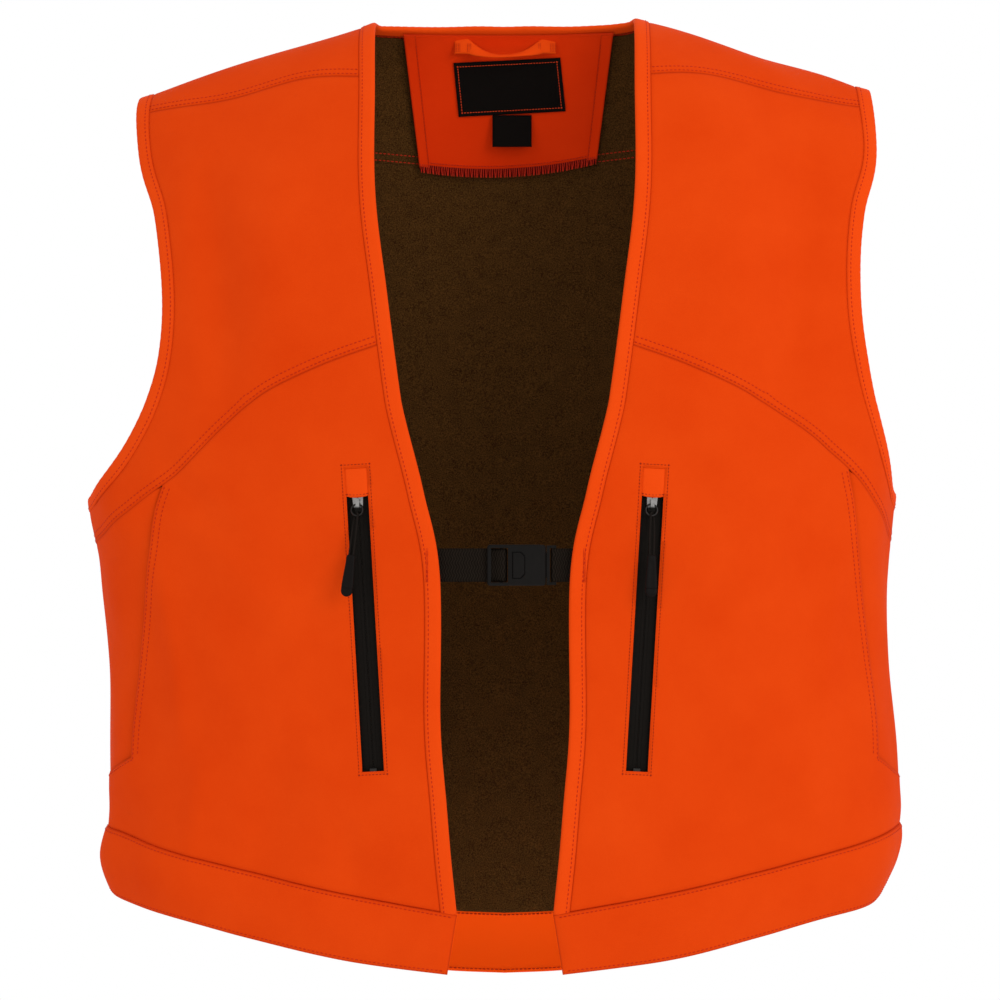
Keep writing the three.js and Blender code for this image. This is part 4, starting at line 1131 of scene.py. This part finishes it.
# The size tab hangs from the label's lower edge, its foot a little forward.
tab_low, tab_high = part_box("size_tab")
tab_u, tab_v = np.meshgrid(np.linspace(0, 1, 15), np.linspace(0, 1, 13))
tab_x = (tab_low[0] + (tab_high[0] - tab_low[0]) * tab_u) / MM
tab_z = (tab_high[2] + (tab_low[2] - tab_high[2]) * tab_v) / MM
tab_y = (tab_low[1] + tab_high[1]) / 2 / MM - 1.5 * tab_v**2 + 0.5 * np.sin(tab_u * 3 + 0.5) * tab_v
plate_of("size_tab", np.stack([tab_x, tab_y, tab_z], -1), 0.7, label_face, "tab")

# The hanger loop: flat where it is sewn in at both ends, its middle drooping and turned on edge.
loop_low, loop_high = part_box("hanger_loop")
loop_y = (loop_low[1] + loop_high[1]) / 2 / MM
loop_t = np.linspace(-1, 1, 61)
loop_x = 41 * loop_t + 0.4
droop = 1 - np.clip((np.abs(loop_t) - 0.02) / 0.72, 0, 1) ** 2.2
loop_z = loop_high[2] / MM - 1.0 - 8.2 * droop + 0.8 * np.sin(loop_t * 2.2) * (1 - np.abs(loop_t))
lean = droop * math.radians(74)
loop_across = np.linspace(-4.2, 4.2, 9)[:, None]
loop_grid = np.stack([
    np.broadcast_to(loop_x, (9, 61)),
    loop_y - loop_across * np.sin(lean) * 0.8 - 1.0 * droop,
    loop_z - loop_across * (1.5 - 0.5 * droop) * np.cos(lean),
], -1)
plate_of("hanger_loop", loop_grid, 1.5, binding_face, "loop")

# ---- Pocket bags ---------------------------------------------------------------------------------------


def front_patch(middle, half, top, bottom):
    def place(u, v):
        u, v = np.broadcast_arrays(u, v)
        return on_front(middle + half * u, top + (bottom - top) * v)

    return place


for side, sign in (("left", 1), ("right", -1)):
    for bag, at in (("chest_pocket_bag", (124, 44, -368, -622)), ("hand_pocket_bag", (233, 51, -388, -622))):
        blocks = patch(front_patch(*at), (-1, 1), (0, 1), 24, 56)
        blocks = [b[::-1] for b in blocks] if sign > 0 else [mirrored(b[::-1]) for b in blocks]
        cloth(f"{side}_{bag}", blocks, (-8.8, -7.2), fleece, slot="fleece_backing", roll=0.4, held="hung")
# ---- Zips ----------------------------------------------------------------------------------------------


def dress(node, material):
    """Gives a solid that stays in view its finish."""
    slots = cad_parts[node].data.materials
    slots.clear()
    slots.append(material)


def through(points, spacing=0.6):
    """A smooth path through points in space."""
    p = np.array(points, float)
    p = np.vstack([2 * p[0] - p[1], p, 2 * p[-1] - p[-2]])
    t = np.linspace(0, 1, 24, endpoint=False)[:, None]
    runs = []
    for a, b, c, d in zip(p, p[1:], p[2:], p[3:]):
        v0, v1 = (c - a) / 2, (d - b) / 2
        runs.append((2 * b - 2 * c + v0 + v1) * t**3 + (-3 * b + 3 * c - 2 * v0 - v1) * t**2 + v0 * t + b)
    dense = np.vstack([*runs, p[-2:-1]])
    run = np.concatenate([[0], np.cumsum(np.linalg.norm(np.diff(dense, axis=0), axis=1))])
    at = np.linspace(0, run[-1], max(int(run[-1] / spacing), 2) + 1)
    return np.stack([np.interp(at, run, dense[:, k]) for k in range(3)], -1)


def by_slot(points, depth, side):
    """Points on the cloth round a zip's slot, from its own across and up."""
    flat = np.array([(x, 0, z) for x, z in points], float)
    at = on_zip(flat, "left")
    place = on_front(at[:, 0], at[:, 2])
    return lay(place * np.array([1 if side == "left" else -1, 1]), depth)


def lofted(name, rings, material, body):
    """A closed solid through rings of points, each end drawn together."""
    rings = np.asarray(rings, float)
    count, k = rings.shape[:2]
    points = np.vstack([rings.reshape(-1, 3), rings[0].mean(0), rings[-1].mean(0)])
    i, j = np.arange(count - 1)[:, None], np.arange(k)[None]
    sides = np.stack([i * k + j, i * k + (j + 1) % k, (i + 1) * k + (j + 1) % k, (i + 1) * k + j], -1).reshape(-1, 4)
    caps = [[count * k, (m + 1) % k, m] for m in range(k)]
    caps += [[count * k + 1, (count - 1) * k + m, (count - 1) * k + (m + 1) % k] for m in range(k)]
    faces = [list(f) for f in sides] + caps
    first, second, third = (points[[f[n] for f in faces]] for n in (0, 1, 2))
    volume = np.einsum("ij,ij->i", first, np.cross(second, third)).sum()
    if volume < 0:
        faces = [f[::-1] for f in faces]
    settle(new_object(name, points, faces, material), body)


PULL_TILT = {"left": 1, "right": 9}
PULL_LEAN, PULL_AT = 10, (0, -1.25, -7.2)
RING_RADIUS = 4.4


def on_pull(points, side):
    """Points from a hanging pull's own axes, whose top is the slider's eye."""
    lean, tilt = math.radians(-PULL_LEAN), math.radians(-PULL_TILT[side])
    x, y, z = np.asarray(points, float).T
    x, z = x * math.cos(tilt) + z * math.sin(tilt), -x * math.sin(tilt) + z * math.cos(tilt)
    y, z = y * math.cos(lean) - z * math.sin(lean), y * math.sin(lean) + z * math.cos(lean)
    return on_zip(np.stack([x, y, z], -1) + np.array(PULL_AT), side)


def rounded(half_wide, half_thick, power, count=28, dish=0.0):
    """An outline with soft corners; dish draws in the middle of its front."""
    angles = np.linspace(0, 2 * math.pi, count, endpoint=False)
    c, s = np.cos(angles), np.sin(angles)
    size = (np.abs(c) ** power + np.abs(s) ** power) ** (-1 / power)
    x, y = half_wide * c * size, half_thick * s * size
    return x, y + dish * np.exp(-((x / (0.55 * half_wide + 1e-6)) ** 4)) * (y < 0)


TAB_RINGS = np.concatenate([[0, 0.012, 0.04], np.linspace(0.09, 0.8, 20), 1 - 0.2 * np.linspace(1, 0.03, 9) ** 1.6])
nose = -2 * RING_RADIUS
cord_loop = [
    (-1.5, -1.2, -41), (-1.6, -1.3, -27), (-1.3, -1.9, nose - 1.5), (-0.9, -1.3, nose + 1.7), (0, 0.4, nose + 2.4),
    (0.9, 1.9, nose + 0.4), (1.4, 1, nose - 2.7), (1.6, -0.6, -24), (1.5, -1.2, -41),
]
ZIP_PARTS = {
    "zip_inner_tape": tape_cloth, "zip_outer_tape": tape_cloth, "zip_bottom_stop": black_ring,
    "zip_slider": slider_metal, "pull_ring": black_ring,
}
for side in ("left", "right"):
    body = f"{side}_pull"
    for what, material in ZIP_PARTS.items():
        dress(f"{side}_{what}", material)
    run = np.array([(0, 3.05, z) for z in np.linspace(-13.5, -zip_length + 3.4, 60)])
    grow(f"{side}_coil_teeth", coil_teeth, [on_zip(run, side)], coil_nylon, slot="zip_coil", pitch=1.35, wide=3.4,
         thread=0.55, nodes=[f"{side}_zip_inner_coil", f"{side}_zip_outer_coil"])
    rows = [on_zip([(x, 2.55, z) for z in np.linspace(6, -zip_length + 1, 60)], side) for x in (-2.9, 2.9, -7.6, 7.6)]
    grow(f"{side}_tape_stitching", stitch_row, rows, tape_cloth, slot="zip_tape", pitch=2.0, stitch=1.7, thread=0.28)

    # The garage: a little flap of face cloth over the top of the zip, its lower edge bowed.
    gx, gz = np.meshgrid(np.linspace(-8.7, 8.7, 19), np.linspace(0, 1, 17))
    low = -2.2 + 1.3 * (gx / 8.7) ** 2
    up = 20.7 + (low - 20.7) * gz
    out = -0.15 - 0.9 * (1 - (gx / 8.7) ** 4) * soft_step(gz, 0, 0.3)
    flap = on_zip(np.stack([gx, out, up], -1).reshape(-1, 3), side).reshape(17, 19, 3)
    plate_of(f"{side}_zip_garage", flap if side == "left" else flap[:, ::-1], 1.1, binding_face)

    # The welt: the slot's rolled edge, then the stitching round it.
    bottom, top, half = -zip_length + 0.2, GARAGE - 0.2, ZIP_WINDOW / 2 - 0.15
    corners = [(-half, bottom), (half, bottom), (half, top), (-half, top), (-half, bottom)]
    ring = [p for a, b in zip(corners, corners[1:]) for p in np.linspace(a, b, 40, endpoint=False)]
    grow(f"{side}_slot_welt", thread_run, [by_slot([*ring, corners[0]], 0.72, side)], panel_face, thread=0.62)
    x0, x1, z0, z1 = -half - 1.9, half + 2.0, bottom - 1.8, top + 2.2
    around = [[(x, z) for z in np.linspace(z0, z1, 80)] for x in (x0, x1)]
    around += [[(x, z) for x in np.linspace(x0, x1, 20)] for z in (z1, z0)]
    flap_row = [(x, -1.45, -0.1 + 0.8 * (x / 8.7) ** 2) for x in np.linspace(-7.8, 7.8, 14)]
    grow(f"{side}_slot_stitching", stitch_row, [*[by_slot(row, 1.38, side) for row in around], on_zip(flap_row, side)],
         dark_thread, pitch=2.5, stitch=1.9, thread=0.3)

    # The pull: a cord looped through the ring and moulded into its tab.
    grow(f"{side}_pull_cord", thread_run, [on_pull(through(cord_loop), side)], cord_braid, body=body, slot="pull_cord",
         thread=0.8)
    rings = []
    for share in TAB_RINGS:
        z = -39.2 - 31.8 * share
        wide = 3.3 + 1.1 * soft_step(share, 0.05, 0.75)
        end = math.sqrt(max(1 - max((share - 0.865) / 0.137, 0) ** 2, 0.02))
        start = 1 - 0.3 * math.exp(-share / 0.012)
        grip = 0.42 * soft_step(share, 0.12, 0.2) * (1 - soft_step(share, 0.84, 0.9))
        ribs = 0.12 * math.sin(share * 2 * math.pi * 10) * (0.25 < share < 0.8)
        x, y = rounded(wide * end * start, (1.75 + ribs) * max(end, 0.5) * start, 3.6, 28, grip)
        rings.append(on_pull(np.stack([x, y - 1.2, np.full_like(x, z)], -1), side))
    lofted(f"{side}_pull_tab", rings, tab_rubber, body)

# ---- Strap and buckle ----------------------------------------------------------------------------------

STRAP_DEPTH, STRAP_HEIGHT, WEBBING = -102.4, -424.5, 25.4
for node in ("buckle_socket", "release_button", "buckle_insert"):
    dress(node, buckle_plastic)


def strap_grid(bar, away, end, depths):
    """The middle of a webbing that goes round a bar and comes back on itself."""
    radius = 2.4
    arc = np.linspace(-math.pi / 2, math.pi / 2, 13)
    turn = [(bar - away * radius * math.cos(a), radius * math.sin(a)) for a in arc]
    front = [(end + (bar + away * 5 - end) * s, depths[0]) for s in np.linspace(0, 1, 26)]
    rear = [(end + (bar + away * 5 - end) * s, depths[1]) for s in np.linspace(1, 0, 26)]
    line = np.array([*front, *turn, *rear])
    rows = np.linspace(-WEBBING / 2, WEBBING / 2, 13)
    x = np.broadcast_to(line[:, 0], (13, len(line)))
    bow = 0.12 * np.cos(rows / WEBBING * math.pi)[:, None] * np.sign(line[:, 1])[None]
    y = STRAP_DEPTH + line[:, 1][None] + bow * 0.5
    z = np.broadcast_to(STRAP_HEIGHT + rows[:, None], (13, len(line)))
    return np.stack([x, y, z], -1)


right_strap = plate_of("right_strap", strap_grid(-1.4, -1, -62, (-0.25, 1.15)), 1.2, webbing, None)
plate_of("left_strap", strap_grid(37.6, 1, 62, (-0.7, 0.7)), 1.2, webbing)

# ---- Stitching -----------------------------------------------------------------------------------------


def rows_on(rows, sign):
    return [line_on(curve, depth, offset=offset, sign=sign, start=start, end=end)
            for curve, offset, depth, start, end in rows]


FRONT_STITCHES = [
    (front_band_top, -2.2, 3.35, 0.012, 1), (front_band_bottom, 2.6, 3.4, 0.012, 1),
    (chest_seam, 2.3, 1.34, 0.004, 1), (chest_seam, 6.6, 1.34, 0.004, 0.985),
    (shoulder_seam, 2.3, 1.34, 0, 1), (shoulder_seam, 6.6, 1.34, 0, 1),
    (pocket_mouth, 2.3, 1.34, 0, 0.99), (pocket_mouth, 6.6, 1.34, 0.02, 0.99),
    (pocket_floor, -2.3, 1.34, 0, 1), (armhole_edge, 8.7, 1.98, 0, 1), (armhole_edge, 8.7, -1.98, 0, 1),
    (opening_edge, -9.6, 1.98, 0, 1), (opening_edge, -9.6, -1.98, 0, 1),
]
BACK_STITCHES = [
    (yoke_seam, -2.3, 1.34, 0, 1), (yoke_seam, -6.6, 1.34, 0, 1), (back_band_top, 2.2, 3.35, 0, 1),
    (back_band_bottom, -2.6, 3.4, 0, 1),
]
INSIDE_STITCHES = [
    (yoke_seam, -2.3, -1.42, 0, 1), (yoke_seam, -8.2, -1.42, 0, 1), (back_band_bottom, -2.6, 0.1, 0, 1),
    (back_band_top, 2.2, 0.1, 0, 1),
]
for side, sign in (("left", 1), ("right", -1)):
    for where, rows, stitch, thread in (
        ("front", FRONT_STITCHES, 2.3, 0.4), ("back", BACK_STITCHES, 2.3, 0.4), ("inside", INSIDE_STITCHES, 2.7, 0.5),
    ):
        grow(f"{side}_{where}_stitching", stitch_row, rows_on(rows, sign), stitch_thread, pitch=3.4, stitch=stitch,
             thread=thread)
    tack_x = {"left": 59.5, "right": 58.5}[side]
    tacks = []
    for x in (tack_x, tack_x + 1.1):
        heights = np.linspace(-437, -412, 30)
        tacks.append(lay(on_front(np.full(30, x), heights) * np.array([sign, 1]), 2.05))
    grow(f"{side}_strap_tack", stitch_row, tacks, stitch_thread, pitch=1.0, stitch=0.9, thread=0.3)

border = [(-0.93, 0.07), (0.93, 0.07), (0.93, 0.93), (-0.93, 0.93), (-0.93, 0.07)]
label_path = []
for (u0, v0), (u1, v1) in zip(border, border[1:]):
    s = np.linspace(0, 1, 30)
    label_path.append(lay(label_place(u0 + (u1 - u0) * s, v0 + (v1 - v0) * s), -6.62))
grow("label_border", stitch_row, label_path, bright_thread, slot="label_cloth", pitch=2.3, stitch=1.9, thread=0.34)
fold_rows = [lay(facing_place(np.full(40, u), np.linspace(0.03, 0.97, 40)), -6.18) for u in (-0.895, 0.895)]
grow("facing_stitching", stitch_row, fold_rows, stitch_thread, slot="orange_facing", pitch=3.0, stitch=2.3, thread=0.32)
edge_u = np.linspace(-0.99, 0.99, 80)
cloth("facing_overlock_bed", patch(facing_place, (-0.995, 0.995), (0.965, 1.025), 60, 4), (-5.9, -5.25), overlock_cloth,
      slot="orange_facing", roll=0.2)
loops = []
for k, u in enumerate(np.linspace(-0.985, 0.985, 96)):
    lean = 0.008 * math.sin(k * 2.4)
    loops.append(lay(facing_place(np.array([u, u + 0.4 * lean, u + lean]), np.array([0.962, 0.995, 1.033])), -6.15))
grow("facing_overlock", thread_run, loops, overlock_thread, slot="orange_facing", thread=0.36)
grow("facing_edge_stitching", stitch_row, [lay(facing_place(edge_u, np.full(80, 0.945)), -5.4)], overlock_thread,
     slot="orange_facing", pitch=2.4, stitch=2.2, thread=0.4)
loop_tacks = []
for x0, x1 in ((-40, -36), (-30, -27), (27.5, 30), (37, 41)):
    for x in np.arange(x0, x1, 1.3):
        loop_tacks.append([(x, loop_y - 0.95, loop_high[2] / MM + 0.4), (x, loop_y - 0.95, loop_high[2] / MM - 5.4)])
grow("loop_tacks", stitch_row, [np.linspace(a, b, 8) for a, b in np.array(loop_tacks)], stitch_thread, body="loop",
     slot="orange_binding", pitch=1.1, stitch=0.9, thread=0.28)

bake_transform(right_strap)

# ---- Floor ---------------------------------------------------------------------------------------------


def floor_look(first):
    dust = noise(first, 3, 3, 0.5)
    return {"colour": blend_colours(first, dust, srgb(246, 246, 245), srgb(251, 251, 250)), "height": dust,
            "distance": 0.0001, "strength": 0.1}


FLOOR = -1400
floor = new_object("floor", [(x, y, FLOOR) for x, y in ((-4000, -4000), (4000, -4000), (4000, 4000), (-4000, 4000))],
                   [[0, 1, 2, 3]], finish("pale floor", 0.9, floor_look, Specular_IOR_Level=0.1))
